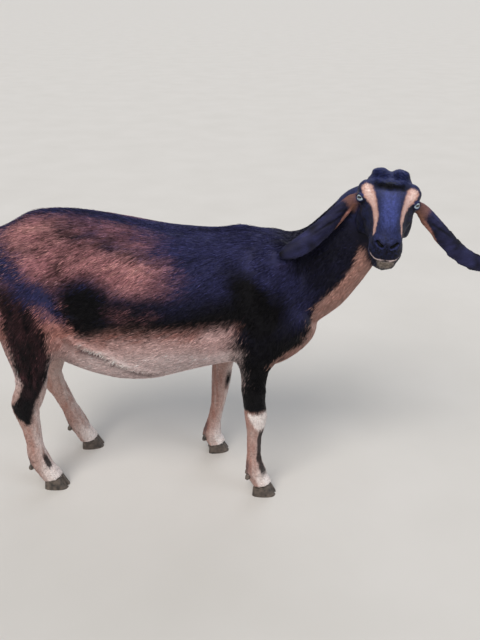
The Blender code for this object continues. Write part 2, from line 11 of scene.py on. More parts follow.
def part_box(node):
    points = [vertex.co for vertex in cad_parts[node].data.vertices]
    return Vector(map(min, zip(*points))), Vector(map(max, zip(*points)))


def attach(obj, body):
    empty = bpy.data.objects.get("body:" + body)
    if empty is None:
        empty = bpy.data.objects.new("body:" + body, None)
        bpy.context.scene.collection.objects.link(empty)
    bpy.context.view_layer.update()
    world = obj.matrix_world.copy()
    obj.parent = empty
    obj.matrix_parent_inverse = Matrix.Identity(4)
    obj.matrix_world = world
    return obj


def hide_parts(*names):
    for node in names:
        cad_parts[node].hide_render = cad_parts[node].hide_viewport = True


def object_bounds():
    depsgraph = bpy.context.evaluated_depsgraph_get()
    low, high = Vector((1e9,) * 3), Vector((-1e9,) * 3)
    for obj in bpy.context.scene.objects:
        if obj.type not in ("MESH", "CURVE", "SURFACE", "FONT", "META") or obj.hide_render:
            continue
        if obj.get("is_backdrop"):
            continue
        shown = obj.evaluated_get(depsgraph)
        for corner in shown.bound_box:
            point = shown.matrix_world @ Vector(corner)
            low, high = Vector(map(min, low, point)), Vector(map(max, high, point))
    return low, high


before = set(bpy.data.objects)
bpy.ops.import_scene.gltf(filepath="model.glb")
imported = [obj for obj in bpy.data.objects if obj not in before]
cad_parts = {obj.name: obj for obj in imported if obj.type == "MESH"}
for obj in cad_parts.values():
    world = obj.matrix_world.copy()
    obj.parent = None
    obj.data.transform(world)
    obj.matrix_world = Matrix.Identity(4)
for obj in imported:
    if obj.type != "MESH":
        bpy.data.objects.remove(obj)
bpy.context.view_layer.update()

# ---- hide ----
# A museum goat is a tanned hide glued over a shaped form and sewn shut, so one skin runs over the
# head, trunk and legs with no seam showing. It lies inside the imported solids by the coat's depth.
GRAIN = 0.0032  # side of the cells the solids are fused in
HIDE_TRIANGLES = 132000  # kept over the whole body before the face is made finer
COAT_DEPTH = {"trunk": 0.0034, "neck": 0.0034, "leg": 0.0018, "head": 0.0014, "ear": 0.0016,
              "tail": 0.004}
CALM_ROUNDS = 40  # rounds of smoothing on the trunk; finer parts take a share of each
CALM = {"trunk": 1.0, "neck": 1.0, "leg": 0.7, "head": 0.3, "ear": 0.9, "tail": 0.4}
SETTLE_ROUNDS = 26  # further rounds on trunk and neck, once their facets are larger
SETTLE = {"trunk": 1.0, "neck": 0.8, "leg": 0.12, "head": 0.0, "ear": 0.0, "tail": 0.1}
FACE_ROUNDS, SOCKET_ROUNDS, RIM_ROUNDS = 36, 90, 60  # the same on the face, round the lids, on the ears
EAR_ROUND = 0.0022  # added all round an ear so that its thin edge fuses whole
LID_THICK = 0.0022  # how far closed lids would stand over the eyeball
STEP, STEP_IN, STEP_OUT = 0.6, 0.62, -0.64  # of the way to the neighbours' mean, in one round


def held(values):
    return np.clip(values, 0, 1)


def rise(values, start, over, least=0, most=1):
    """0 up to start, and 1 from this much over it."""
    return np.clip((values - start) / over, least, most)


def fall(values, end, over, least=0, most=1):
    """1 until this much short of end, and 0 from there on."""
    return np.clip((end - values) / over, least, most)


def region_of(node):
    starts = {"ear": "ear", "head": "head", "neck": "neck", "tail": "tail", "fore": "leg", "hind": "leg"}
    return next((region for start, region in starts.items() if node.startswith(start)), "trunk")


def unit(vectors):
    vectors = np.asarray(vectors, float)
    return vectors / np.maximum(np.linalg.norm(vectors, axis=-1, keepdims=True), 1e-12)


def middle(node):
    low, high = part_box(node)
    return np.array((low + high) / 2)


def merged(*nodes):
    """A bmesh of copies of these nodes, each welded into a closed shape."""
    shape = bmesh.new()
    for node in nodes:
        shape.from_mesh(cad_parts[node].data)
    bmesh.ops.remove_doubles(shape, verts=shape.verts, dist=1e-5)
    return shape


def shown(name, mesh):
    """An object of this mesh, in the scene."""
    made = bpy.data.objects.new(name, mesh)
    bpy.context.scene.collection.objects.link(made)
    return made


def piece(name, shape):
    """An object of this bmesh, in the scene."""
    mesh = bpy.data.meshes.new(name)
    shape.to_mesh(mesh)
    shape.free()
    return shown(name, mesh)


def finish_modifiers(obj):
    bpy.context.view_layer.update()
    graph = bpy.context.evaluated_depsgraph_get()
    mesh = bpy.data.meshes.new_from_object(obj.evaluated_get(graph))
    obj.modifiers.clear()
    obj.data = mesh


def pulled(items, name, wide, kind=np.float32):
    """One property of all these items, in rows of this many numbers."""
    out = np.empty(len(items) * wide, kind)
    items.foreach_get(name, out)
    return out.reshape(-1, wide)


def points_of(mesh):
    return pulled(mesh.vertices, "co", 3).astype(float)


def normals_of(mesh):
    return pulled(mesh.vertices, "normal", 3).astype(float)


def put_points(mesh, points):
    mesh.vertices.foreach_set("co", points.astype(np.float32).ravel())
    mesh.update()


def evened(values, edges, rounds, strength=1.0, keep_size=False):
    """Each value drawn towards its neighbours' mean; keep_size pushes back out so nothing shrinks."""
    a, b = edges.T
    count = np.maximum(np.bincount(edges.ravel(), minlength=len(values)), 1)
    strength = np.broadcast_to(strength, len(values))
    for _ in range(rounds):
        for step in (STEP_IN, STEP_OUT) if keep_size else (STEP,):
            for k in range(values.shape[1]):
                column = values[:, k]
                mean = (np.bincount(a, column[b], len(values))
                        + np.bincount(b, column[a], len(values))) / count
                values[:, k] += step * strength * (mean - column)
    return values


REGIONS = ["trunk", "neck", "head", "ear", "leg", "tail"]
LEGS = ["foreleg_right", "foreleg_left", "hindleg_right", "hindleg_left"]
EARS = ["ear_right", "ear_left"]
EYES = {"right": "eye_right", "left": "eye_left"}
EYE_SHIFT = {"right": np.array([-0.0030, 0.0, 0.0052]), "left": np.array([0.0008, 0.0, 0.0006])}
flesh = [n for n in sorted(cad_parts) if not n.startswith(("eye", "hoof", "dewclaw"))]
body = merged(*[n for n in flesh if not n.startswith("ear")])
for node in EARS:
    ear = merged(node)
    ear.normal_update()
    for v in ear.verts:
        v.co += v.normal * EAR_ROUND
    rounded = bpy.data.meshes.new(node + "_rounded")
    ear.to_mesh(rounded)
    ear.free()
    body.from_mesh(rounded)
for side, node in EYES.items():
    low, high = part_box(node)
    ball = bmesh.ops.create_icosphere(body, subdivisions=4, radius=(high - low).x / 2 + LID_THICK)
    bmesh.ops.translate(body, verts=ball["verts"], vec=(low + high) / 2 + Vector(EYE_SHIFT[side]))
hide = piece("hide", body)
fuse = hide.modifiers.new("fuse", "REMESH")
fuse.mode = "VOXEL"
fuse.voxel_size = GRAIN
finish_modifiers(hide)

# Which part of the body each point belongs to: the nearest solid's, with soft borders
tree_nodes, tree_points, tree_faces = [], [], []
for node in flesh:
    shape = merged(node)
    first = len(tree_points)
    tree_points += [v.co.copy() for v in shape.verts]
    tree_faces += [[first + v.index for v in f.verts] for f in shape.faces]
    tree_nodes += [node] * len(shape.faces)
    shape.free()
solid_tree = BVHTree.FromPolygons(tree_points, tree_faces)
PARTS = REGIONS + LEGS + EARS
BORDER_ROUNDS = 8
PART_ROWS = {
    node: np.array([region_of(node) == r for r in REGIONS]
                   + [node.startswith(part) for part in LEGS + EARS], float)
    for node in flesh
}


def measured(mesh):
    """Its points, its edges, and for each point a column of shares for each part of the body."""
    points, edges = points_of(mesh), pulled(mesh.edges, "vertices", 2, np.int32)
    rows = np.array([PART_ROWS[tree_nodes[solid_tree.find_nearest(p)[2]]] for p in points])
    return points, edges, evened(rows, edges, BORDER_ROUNDS)


def share(shares, part):
    return shares[:, PARTS.index(part)]


def picked(shares, table):
    """The mean of a table's values over the regions each point belongs to."""
    return shares[:, :len(REGIONS)] @ np.array([table[r] for r in REGIONS], float)


points, edges, shares = measured(hide.data)
put_points(hide.data, evened(points, edges, CALM_ROUNDS, picked(shares, CALM), keep_size=True))

# Broad flat stretches keep fewer, larger facets than the head and ears
keep = held(share(shares, "head") + share(shares, "ear") + 0.45 * share(shares, "leg"))
group = hide.vertex_groups.new(name="thin")
LEVELS = 10
for level in range(1, LEVELS + 1):
    chosen = np.flatnonzero(np.round((1 - keep) * LEVELS) == level)
    group.add(chosen.tolist(), level / LEVELS, "REPLACE")
thin = hide.modifiers.new("thin", "DECIMATE")
thin.ratio = HIDE_TRIANGLES / (2 * len(hide.data.polygons))
thin.vertex_group = "thin"
thin.vertex_group_factor = 1.0
finish_modifiers(hide)
points, edges, shares = measured(hide.data)
put_points(hide.data, evened(points, edges, SETTLE_ROUNDS, picked(shares, SETTLE), keep_size=True))

# The head's own lengths: forward from between the eyes to the nose, to its left, and up
brow = (middle("eye_left") + middle("eye_right")) / 2
aside = unit(middle("eye_left") - middle("eye_right"))
ahead = np.array([-0.154, -0.978, -0.140])  # the nose points square to the right and a little down
ahead = unit(ahead - aside * (ahead @ aside))
crown = np.cross(ahead, aside)
HEAD_AXES = np.array([ahead, aside, crown])


def in_head(points):
    return (points - brow) @ HEAD_AXES.T


def finer(mesh, chosen):
    """Splits the faces round the chosen points in four."""
    shape = bmesh.new()
    shape.from_mesh(mesh)
    shape.verts.ensure_lookup_table()
    cut = [e for e in shape.edges if chosen[e.verts[0].index] and chosen[e.verts[1].index]]
    bmesh.ops.subdivide_edges(shape, edges=cut, cuts=1, use_grid_fill=True, smooth=0.0)
    bmesh.ops.triangulate(shape, faces=[f for f in shape.faces if len(f.verts) > 4])
    shape.to_mesh(mesh)
    shape.free()


# The flap of skin from stifle to belly hangs over the smooth belly behind it: its lower edge, in
# metres forward of the rump's back and above the floor
spine_y = middle("barrel")[1]
rump_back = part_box("rump")[0].x
FLANK_FOLD = [(0.236, 0.476), (0.259, 0.463), (0.285, 0.455), (0.318, 0.445), (0.343, 0.436),
              (0.362, 0.422), (0.396, 0.404), (0.432, 0.388), (0.470, 0.376)]


def level_along(path, forward):
    """The height of a line, given by its places, at each distance forward."""
    return np.interp(forward, *np.array(path).T)


def on_trunk(points):
    """How far forward of the rump's back, to the left of the spine, and above the floor."""
    return points[:, 0] - rump_back, points[:, 1] - spine_y, points[:, 2]


def below_fold(points):
    """How far below the flap's edge each place stands, and 1 for places along the flap's length."""
    x, y, z = on_trunk(points)
    return level_along(FLANK_FOLD, x) - z, rise(x, 0.225, 0.03) * fall(x, 0.475, 0.09)


points = points_of(hide.data)
below, there = below_fold(points)
on_side = abs(points[:, 1] - spine_y) > 0.05
finer(hide.data, (abs(below) < 0.022) & (there > 0) & on_side)
EYE_AT = {side: in_head(middle(node) + EYE_SHIFT[side]) for side, node in EYES.items()}
EYE_RADIUS = (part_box("eye_left")[1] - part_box("eye_left")[0]).x / 2


def off_eyes(local):
    """Distance from the middle of the nearer eyeball."""
    return np.minimum(*[np.linalg.norm(local - at, axis=1) for at in EYE_AT.values()])


# Twice finer round the eyes and on the muzzle: how far round an eye, and the muzzle's stretch as
# its start, half its width, its bottom and its top
for reach, start, wide, low, high in ((0.032, 0.105, 0.060, -0.130, 0.020),
                                      (0.021, 0.140, 0.034, -0.048, -0.008)):
    local = in_head(points_of(hide.data))
    muzzle = (local[:, 0] > start) & (abs(local[:, 1]) < wide) & (local[:, 2] > low) & (local[:, 2] < high)
    finer(hide.data, (off_eyes(local) < reach) | muzzle)

# Lines pressed into or raised on the face, as a finger does in clay before the hide goes on.
# Each is a path of places in the head's lengths on the left side, how wide, and how far it moves.
FACE_LINES = [
    ([(0.161, 0.0220, -0.0290), (0.165, 0.017, -0.0330), (0.169, 0.010, -0.0362)], 0.0048,
     (-0.0080, -0.001, 0.0008)),  # nostril
    ([(0.158, 0.029, -0.028), (0.164, 0.021, -0.040)], 0.0085, (0.0006, 0.0010, -0.0004)),
    ([(0.158, 0.018, -0.020), (0.166, 0.008, -0.027)], 0.0085, (0.0010, 0.0002, 0.0010)),
    ([(-0.012, 0.052, 0.024), (0.010, 0.050, 0.014)], 0.028, (0.0, 0.0048, 0.0012)),  # brow
    ([(-0.070, 0.044, 0.030), (-0.030, 0.046, 0.028)], 0.036, (0.0, 0.0070, 0.0080)),  # side of the poll
    ([(-0.028, 0.058, 0.012), (-0.046, 0.058, 0.004)], 0.034, (0.0, 0.0090, 0.0)),  # temple
    ([(-0.010, 0.054, -0.024), (0.026, 0.050, -0.026)], 0.028, (0.0, 0.0060, 0.0)),  # under the eye
    ([(0.158, 0.012, -0.088), (0.138, 0.020, -0.094)], 0.018, (0.0010, 0.0048, -0.0032)),  # round chin
    ([(0.171, 0.0, -0.030), (0.173, 0.0, -0.062)], 0.0034, (-0.0026, 0.0, 0.0)),  # cleft of the lip
    ([(0.132, 0.036, -0.066), (0.104, 0.040, -0.060)], 0.026, (0.0, 0.0038, 0.0)),  # full cheeks
    ([(0.171, 0.0, -0.071), (0.167, 0.014, -0.070), (0.158, 0.029, -0.067), (0.143, 0.037, -0.063),
      (0.118, 0.042, -0.058), (0.098, 0.044, -0.053)], 0.0042, (-0.0036, -0.0042, 0.0)),  # mouth
    ([(0.164, 0.016, -0.056), (0.150, 0.030, -0.052), (0.118, 0.037, -0.047)], 0.011,
     (0.0010, 0.0012, 0.0)),  # upper lip
    ([(0.166, 0.0, -0.084), (0.158, 0.016, -0.082), (0.140, 0.028, -0.078)], 0.010,
     (-0.0042, -0.0022, 0.0)),  # lower lip, set back
    ([(0.142, 0.0, -0.100), (0.120, 0.010, -0.100)], 0.014, (0.0010, 0.0, -0.0020)),  # chin
    ([(0.030, 0.047, -0.012), (0.062, 0.041, -0.022)], 0.018, (0.0, -0.0020, 0.0)),  # tear trough
    ([(0.020, 0.052, -0.034), (0.080, 0.042, -0.046)], 0.020, (0.0, 0.0018, 0.0)),  # cheek bone
    ([(-0.006, 0.030, 0.034), (0.006, 0.014, 0.036), (0.008, 0.0, 0.037)], 0.016,
     (-0.0010, 0.0, -0.0042)),  # hollow under the forelock
    ([(-0.040, 0.030, 0.040), (-0.020, 0.014, 0.040), (-0.016, 0.0, 0.040)], 0.018,
     (0.0030, 0.0, 0.0014)),  # edge of the poll
    ([(-0.044, 0.052, 0.014), (-0.052, 0.050, -0.002)], 0.014, (0.0, -0.0035, 0.0)),  # temple
    ([(0.010, 0.030, 0.034), (0.070, 0.022, 0.022)], 0.016, (0.0, 0.0012, 0.0008)),  # nose edge
    ([(0.006, 0.048, -0.078), (-0.040, 0.054, -0.092)], 0.016, (0.0, 0.0030, -0.0006)),  # jaw
    ([(0.060, 0.036, -0.070), (0.088, 0.034, -0.066)], 0.018, (0.0, -0.0025, 0.0)),  # hollow cheek
]


def off_line(places, path):
    """Distance of each place from a path of straight runs."""
    best = np.full(len(places), np.inf)
    for start, end in zip(np.array(path[:-1], float), np.array(path[1:], float)):
        run = end - start
        t = held((places - start) @ run / (run @ run))
        best = np.minimum(best, np.linalg.norm(places - start - t[:, None] * run, axis=1))
    return best


def swell(distance, reach):
    """1 on a line, falling smoothly to 0 at reach."""
    return held(1 - (distance / reach) ** 2) ** 2


def shaped_face(local):
    """Each line moved in turn, and the same on the right side unless it lies in the middle."""
    for path, reach, push in FACE_LINES:
        for side in (1, -1):
            if side < 0 and not any(p[1] for p in path):
                continue
            turned = [(f, side * l, u) for f, l, u in path]
            move = swell(off_line(local, turned), reach)
            local = local + move[:, None] * np.array([push[0], side * push[1], push[2]])
    return local


# Lids: the hide stands over each eyeball, and inside the almond opening it dips behind the ball
LID_LONG, LID_HIGH = 0.0112, 0.0076  # half the opening, along the lids and across them
LID_DROP = 0.0010  # the opening's middle lies this far below the ball's
ALMOND = 1.6  # the power that draws the opening to a corner at both ends
LID_OVER, HIDE_SUNK = 0.0016, 0.0028  # the lids over the ball, and the hide behind its front
LID_REACH = 0.009  # nothing further off the ball is moved
# A raised rim and a fold outside it: where, in openings from the middle, how wide, and how high
RIM_AT, RIM_WIDE, RIM_HIGH = 1.20, 0.28, 0.0011
FOLD_AT, FOLD_WIDE, UPPER_FOLD, LOWER_FOLD = 1.85, 0.42, 0.0014, 0.0007
EYE_LOOKS = {"left": unit([0.68, 0.70, 0.20]), "right": unit([0.68, -0.70, 0.25])}
EYE_AXES = {}
for side, looks in EYE_LOOKS.items():
    along = np.array([1.0, 0.0, 0.12])
    along = unit(along - looks * (along @ looks))
    EYE_AXES[side] = (along, np.cross(looks, along) * (1 if side == "right" else -1), looks)


def opened_lids(local):
    for side, at in EYE_AT.items():
        along, across, looks = EYE_AXES[side]
        out = local - at
        far = np.linalg.norm(out, axis=1)
        a, b, c = out @ along, out @ across + LID_DROP, out @ looks
        opening = ((abs(a) / LID_LONG) ** ALMOND + (abs(b) / LID_HIGH) ** ALMOND) ** (1 / ALMOND)
        opened = fall(opening, 1.08, 0.20)
        rim = swell(opening - RIM_AT, RIM_WIDE) * RIM_HIGH
        fold = swell(opening - FOLD_AT, FOLD_WIDE) * np.where(b > 0, UPPER_FOLD, LOWER_FOLD)
        goal = (EYE_RADIUS + LID_OVER + rim - fold) * (1 - opened) + (EYE_RADIUS - HIDE_SUNK) * opened
        goal = goal + np.maximum(opening - 2.0, 0) * 0.004
        near = fall(opening, 2.4, 0.5) * ((c > 0) & (far < EYE_RADIUS + LID_REACH))
        new = np.where((far < goal) & (opened == 0), far, far + (goal - far) * near)
        local = at + out * (new / np.maximum(far, 1e-6))[:, None]
    return local


points, edges, shares = measured(hide.data)
local = in_head(points)
# Knobs of the solid head sink into one form before the fine lines are pressed in
eye_gap = off_eyes(local)
soft = share(shares, "head") * rise(eye_gap, 0.008, 0.012, least=0.35)
soft = soft * fall(local[:, 0], 0.150, 0.05, least=0.25)
points = evened(points, edges, FACE_ROUNDS, soft, keep_size=True)
on_head = share(shares, "head") > 0.02
local = in_head(points)
local[on_head] = opened_lids(shaped_face(local[on_head]))
points = brow + local @ HEAD_AXES
# The lids slope into brow and cheek, with no step round the ball
fronts = [EYE_AT[side] + EYE_LOOKS[side] * EYE_RADIUS for side in EYES]
off_front = np.min([np.linalg.norm(local - front, axis=1) for front in fronts], axis=0)
socket = rise(off_front, 0.0125, 0.004) * fall(off_front, 0.040, 0.014)
points = evened(points, edges, SOCKET_ROUNDS, socket * on_head)
put_points(hide.data, points)
# The hide lies deeper where the coat is thick, and hardly at all by the eyes and the claws
sunk = picked(shares, COAT_DEPTH) * held(eye_gap / 0.012 - 1.6)
sunk = sunk * rise(points[:, 2], 0.040, 0.04, least=0.2)
points = points - normals_of(hide.data) * sunk[:, None]
put_points(hide.data, points)
hide.data.shade_smooth()


def from_brow(at):
    return brow + np.array(at) @ HEAD_AXES


def from_rump(at):
    return np.array([rump_back + at[0], spine_y + at[1], at[2]])


# Knobs left on the form are worked down smooth: their places, how far round, and in how many rounds
KNOBS = [
    (from_brow, [(0.122, 0.0, -0.102), (0.088, 0.0, -0.096), (0.146, 0.024, -0.100),
                 (0.146, -0.024, -0.100)], 0.046, 80),  # chin
    (from_brow, [(0.006, -0.018, 0.036), (0.006, 0.018, 0.036)], 0.034, 30),  # forehead
    (from_brow, [(-0.016, 0.056, 0.034), (-0.004, 0.060, 0.028)], 0.032, 55),  # left brow
    (from_brow, [(-0.020, -0.054, 0.036)], 0.026, 25),  # right brow
    (from_rump, [(0.765, 0.045, 0.715), (0.765, 0.0, 0.715), (0.810, 0.045, 0.715),
                 (0.810, 0.0, 0.715)], 0.075, 70),  # foot of the neck
    (from_rump, [(0.240, 0.092, 0.700), (0.240, -0.092, 0.700)], 0.11, 60),  # hips
]
for placed, places, reach, rounds in KNOBS:
    gap = np.min([np.linalg.norm(points - placed(at), axis=1) for at in places], axis=0)
    points = evened(points, edges, rounds, swell(gap, reach))

# Ears: their rims are evened so that nothing scallops them, and two long creases run down each.
# A crease: how far below the line from root to tip, its sway, its bends, where they start, and
# half its width.
CREASES = [(-0.011, 0.006, 5, 0, 0.0055), (0.004, 0.005, 4, 1, 0.0050)]
CREASE_DEEP = 0.0020


def ear_lengths(points, part):
    """How far along an ear from its root, from 0 to 1, and how far towards its lower edge."""
    low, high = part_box(part)
    right = part == "ear_right"
    root = np.array([high.x if right else low.x, high.y if right else low.y, high.z - 0.012])
    tip = np.array([low.x if right else high.x, low.y, low.z + 0.02])
    run = tip - root
    length = np.linalg.norm(run)
    down = unit(np.array([0, 0, -1.0]) - unit(run) * (np.array([0, 0, -1.0]) @ unit(run)))
    return (points - root) @ run / length ** 2, (points - root) @ down


def ear_outline(points, shares, part):
    """Where an ear's two long edges stand, at steps along it."""
    along, lower = ear_lengths(points[share(shares, part) > 0.5], part)
    steps = np.linspace(0.04, 1.0, 13)
    rims = []
    for step in steps:
        near = lower[abs(along - step) < 0.045]
        rims.append((near.min(), near.max()) if len(near) else (0.0, 0.0))
    return steps, np.array(rims)


points = evened(points, edges, RIM_ROUNDS, share(shares, "ear"), keep_size=True)
EAR_OUTLINES = {part: ear_outline(points, shares, part) for part in EARS}


def off_rims(along, lower, part):
    """How far inside an ear's upper and lower edge each place stands."""
    steps, rims = EAR_OUTLINES[part]
    return lower - np.interp(along, steps, rims[:, 0]), np.interp(along, steps, rims[:, 1]) - lower


def ear_creases(along, lower, part):
    """1 in the bottom of a crease, 0 away from both."""
    off_edge = rise(np.minimum(*off_rims(along, lower, part)), 0.008, 0.005)
    dips = [swell(lower - at - sway * np.sin(bends * along + start), wide)
            for at, sway, bends, start, wide in CREASES]
    return np.maximum(*dips) * (rise(along, 0.14, 0.1) * fall(along, 0.92, 0.2)) * off_edge


skin_normals = normals_of(hide.data)
for part in EARS:
    crease = ear_creases(*ear_lengths(points, part), part) * share(shares, part)
    outside = skin_normals[:, 1] < 0.2
    points = points - skin_normals * CREASE_DEEP * crease[:, None] * outside[:, None]
# The flap of the flank stands out over its lower edge, and the belly behind it is drawn in
FLAP_OUT, BELLY_IN = 0.0085, 0.0170
below, there = below_fold(points)
x, y, z = on_trunk(points)
out_y = np.sign(y) * rise(abs(y), 0.03, 0.03)
step = FLAP_OUT * np.exp(-((below + 0.006) / 0.013) ** 2)
step = step - BELLY_IN * rise(below, -0.001, 0.005) * fall(below, 0.080, 0.070)
points[:, 1] += out_y * there * step
# Behind the elbows the belly tucks up
TUCK = 0.014
tuck = swell(np.maximum(abs(x - 0.590) - 0.030, 0), 0.15) * fall(z, 0.485, 0.05)
points[:, 2] += TUCK * tuck * (share(shares, "leg") < 0.3)
put_points(hide.data, points)

# Unwrapped once, so that each lock of the coat can be painted where its root stands
hide.data.uv_layers.new(name="OFBake")
bpy.context.view_layer.objects.active = hide
hide.select_set(True)
bpy.ops.object.mode_set(mode="EDIT")
bpy.ops.mesh.select_all(action="SELECT")
bpy.ops.uv.smart_project(angle_limit=math.radians(66), island_margin=0.002)
bpy.ops.object.mode_set(mode="OBJECT")
hide.select_set(False)
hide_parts(*flesh)
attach(hide, "root")


# ---- markings ----
# The coat is black on the neck, shoulders and face, chestnut over the rump and ribs, and tan to
# cream below, with pale stripes over the eyes. Hairs of both colours mix where two of them meet.
def linear(code):
    """An sRGB hex colour as linear red, green and blue."""
    parts = [int(code[i:i + 2], 16) / 255 for i in (1, 3, 5)]
    return np.array([c / 12.92 if c <= 0.04045 else ((c + 0.055) / 1.055) ** 2.4 for c in parts])


# the blue black is a painted sheen, the sky's reflection on glossy black hair, and no hair colour
BLACK, BLUE_SHEEN, SOOT = linear("#08070b"), linear("#2f3055"), linear("#181215")
DARK_BROWN, CHESTNUT, RUST = linear("#452b2f"), linear("#b37a80"), linear("#cf9a95")
TAN, FAWN, PINK_TAN = linear("#ad8378"), linear("#9f6f67"), linear("#bd9f97")
CREAM, WHITE, ROSE_CREAM = linear("#d8c2c0"), linear("#f3e8e4"), linear("#caa8a5")
# the face's blue is a painted sheen as well, the sky's reflection on its black hair
STRIPE, PALE_STRIPE, FACE_SHEEN = linear("#c59a8e"), linear("#eed5cd"), linear("#465090")
CHIN_GREY, MOUTH_PINK, EAR_LINING = linear("#80756c"), linear("#c88d84"), linear("#94695a")


def cloud(places, size, seed=0):
    """Smooth random values from -1 to 1, in patches about this size across."""
    spot = np.asarray(places) / size + 31.7 * seed + 1000.0
    cell = np.floor(spot).astype(np.int64)
    t = spot - cell
    t = t * t * (3 - 2 * t)
    total = np.zeros(len(spot))
    for corner in itertools.product((0, 1), repeat=3):
        # each corner of the cell gets its own well mixed number
        key = (cell + corner) @ np.array([73856093, 19349663, 83492791])
        key = ((key ^ (key >> 13)) * 1274126177) & 0x7FFFFFFF
        key = ((key ^ (key >> 15)) * 668265263) & 0x7FFFFFFF
        near = np.prod(np.where(corner, t, 1 - t), axis=1)
        total += near * ((key >> 7) % 65536 / 32768 - 1)
    return total


def laid(colours, mask, tone):
    """A tone laid over colours where the mask is 1."""
    return colours + mask[:, None] * (tone - colours)


def blend_of(first, second, amount):
    return first + held(amount)[:, None] * (second - first)


def patch(x, z, at, half, lean=0.0):
    """Distance outside an oval round a place, tipped up forwards by lean degrees."""
    c, s = math.cos(math.radians(lean)), math.sin(math.radians(lean))
    a = ((x - at[0]) * c + (z - at[1]) * s) / half[0]
    b = ((z - at[1]) * c - (x - at[0]) * s) / half[1]
    return (np.hypot(a, b) - 1) * min(half)


def inside(distance, soft):
    """1 inside a border and 0 outside it, with an edge this soft."""
    return held(0.5 - distance / soft)


def oval(x, z, soft, at, half, lean=0.0):
    return inside(patch(x, z, at, half, lean), soft)


def band(x, z, path):
    """Distance from a line in the side view."""
    return off_line(np.stack([x, z, 0 * x], 1), [(*p, 0.0) for p in path])


# Side view of the body, in metres forward of the rump's back and above the floor. An oval is its
# middle, half its length and height, and its lean in degrees.
SADDLE = [((0.388, 0.664), (0.118, 0.052), -15), ((0.185, 0.695), (0.155, 0.082), 6),
          ((0.310, 0.690), (0.100, 0.050), -12), ((0.010, 0.600), (0.052, 0.110), 0),
          ((0.368, 0.730), (0.060, 0.020), -12)]
# lighter places in the saddle, each with its softness first, then darker ones, each with how dark
BRIGHT = [(0.06, (0.400, 0.655), (0.105, 0.042), -12), (0.04, (0.130, 0.745), (0.10, 0.032), 0)]
DIM = [(1.00, 0.030, (0.262, 0.741), (0.060, 0.022), -10),
       (0.95, 0.016, (0.395, 0.705), (0.085, 0.013), -14),
       # painted shade in the hollow before the hip
       (0.75, 0.035, (0.238, 0.650), (0.018, 0.056), 14),
       (0.90, 0.030, (0.185, 0.696), (0.058, 0.016), -4)]
# painted highlights where the shoulder shines, each with its softness first, and painted shade on the line
# behind it
SHINE = [(0.05, (0.745, 0.700), (0.060, 0.035), -35), (0.035, (0.835, 0.556), (0.020, 0.045), -25)]
SHOULDER_LINE = [(0.655, 0.668), (0.687, 0.620), (0.712, 0.585), (0.725, 0.520)]
FLANK_PATCH = ((0.298, 0.570), (0.064, 0.070), -8)
THIGH_BAND = [(0.085, 0.684), (0.112, 0.656), (0.140, 0.626), (0.172, 0.600), (0.214, 0.566),
              (0.250, 0.545)]
SIDE_BAND = [(0.340, 0.574), (0.430, 0.568), (0.525, 0.564), (0.660, 0.566)]
MOTTLE = ((0.405, 0.562), (0.07, 0.034))
BELLY_LINE = [(0.230, 0.470), (0.274, 0.491), (0.358, 0.510), (0.430, 0.518), (0.500, 0.521),
              (0.596, 0.519), (0.663, 0.516)]
BELLY_ROSE = ((0.615, 0.480), (0.040, 0.040))
ELBOW = {"right": 0.668, "left": 0.590}  # black again from here forward
STIFLE_LINE = [(0.112, 0.213), (0.121, 0.229), (0.130, 0.269), (0.150, 0.305), (0.166, 0.338),
               (0.176, 0.365), (0.192, 0.426), (0.192, 0.497), (0.179, 0.550), (0.163, 0.585),
               (0.142, 0.613), (0.105, 0.650)]
BACK_LINE = [(0.104, 0.213), (0.078, 0.235), (0.062, 0.268), (0.088, 0.296), (0.102, 0.325),
             (0.106, 0.346), (0.098, 0.38), (0.095, 0.44), (0.090, 0.48), (0.078, 0.563),
             (0.050, 0.610), (0.030, 0.650)]
THROAT_LINE = [(0.760, 0.400), (0.775, 0.427), (0.841, 0.439), (0.866, 0.485), (0.868, 0.545),
               (0.930, 0.603), (0.967, 0.660), (0.978, 0.706), (0.995, 0.780)]
KNEE_TOP, KNEE_LOW, HOCK_LOW = 0.262, 0.208, 0.212
LEFT_KNEE_SPOT = ((0.640, 0.252), (0.007, 0.024), -10)
# The head, in its own lengths
BROW_STRIPE = [(-0.006, 0.054, 0.029), (0.012, 0.049, 0.022), (0.058, 0.036, 0.012),
               (0.095, 0.031, 0.0), (0.132, 0.031, -0.022)]
STRIPE_AT, STRIPE_WIDE = [-0.02, 0.02, 0.06, 0.11, 0.135], [0.0130, 0.0135, 0.0095, 0.0082, 0.0045]
FORELOCK_HOLLOW = (-0.012, 0.0, 0.039)
EAR_ROOT_SPOT = (-0.034, 0.066, -0.010)
LIP_LINE = [(0.171, 0.0, -0.0695), (0.167, 0.014, -0.0685), (0.158, 0.029, -0.0655),
            (0.143, 0.0370, -0.0615), (0.118, 0.0425, -0.0565), (0.098, 0.0445, -0.052)]
NOSE_FLAT = 0.2  # the nose's front is nearly flat, so lines on it hardly run forward
NOSTRIL = [(0.0322, 0.0212, -0.0292), (0.033, 0.017, -0.0330), (0.0335, 0.010, -0.0362)]
# An ear's tan margin: how far along the ear, and how wide it is there; it ends where that is 0
MARGIN_AT, MARGIN_WIDE = [0.10, 0.26, 0.50], [0.016, 0.012, -0.004]
EAR_LOOKS = unit([0, -0.93, 0.36])  # the way its outer side looks; the lining looks the other way


def reach_along(path, height):
    """How far forward a line stands at each height."""
    return level_along([(level, forward) for forward, level in path], height)


def to_left(local):
    """The same places in the head's lengths, all brought to its left side."""
    return local * [1, 0, 1] + abs(local) * [0, 1, 0]


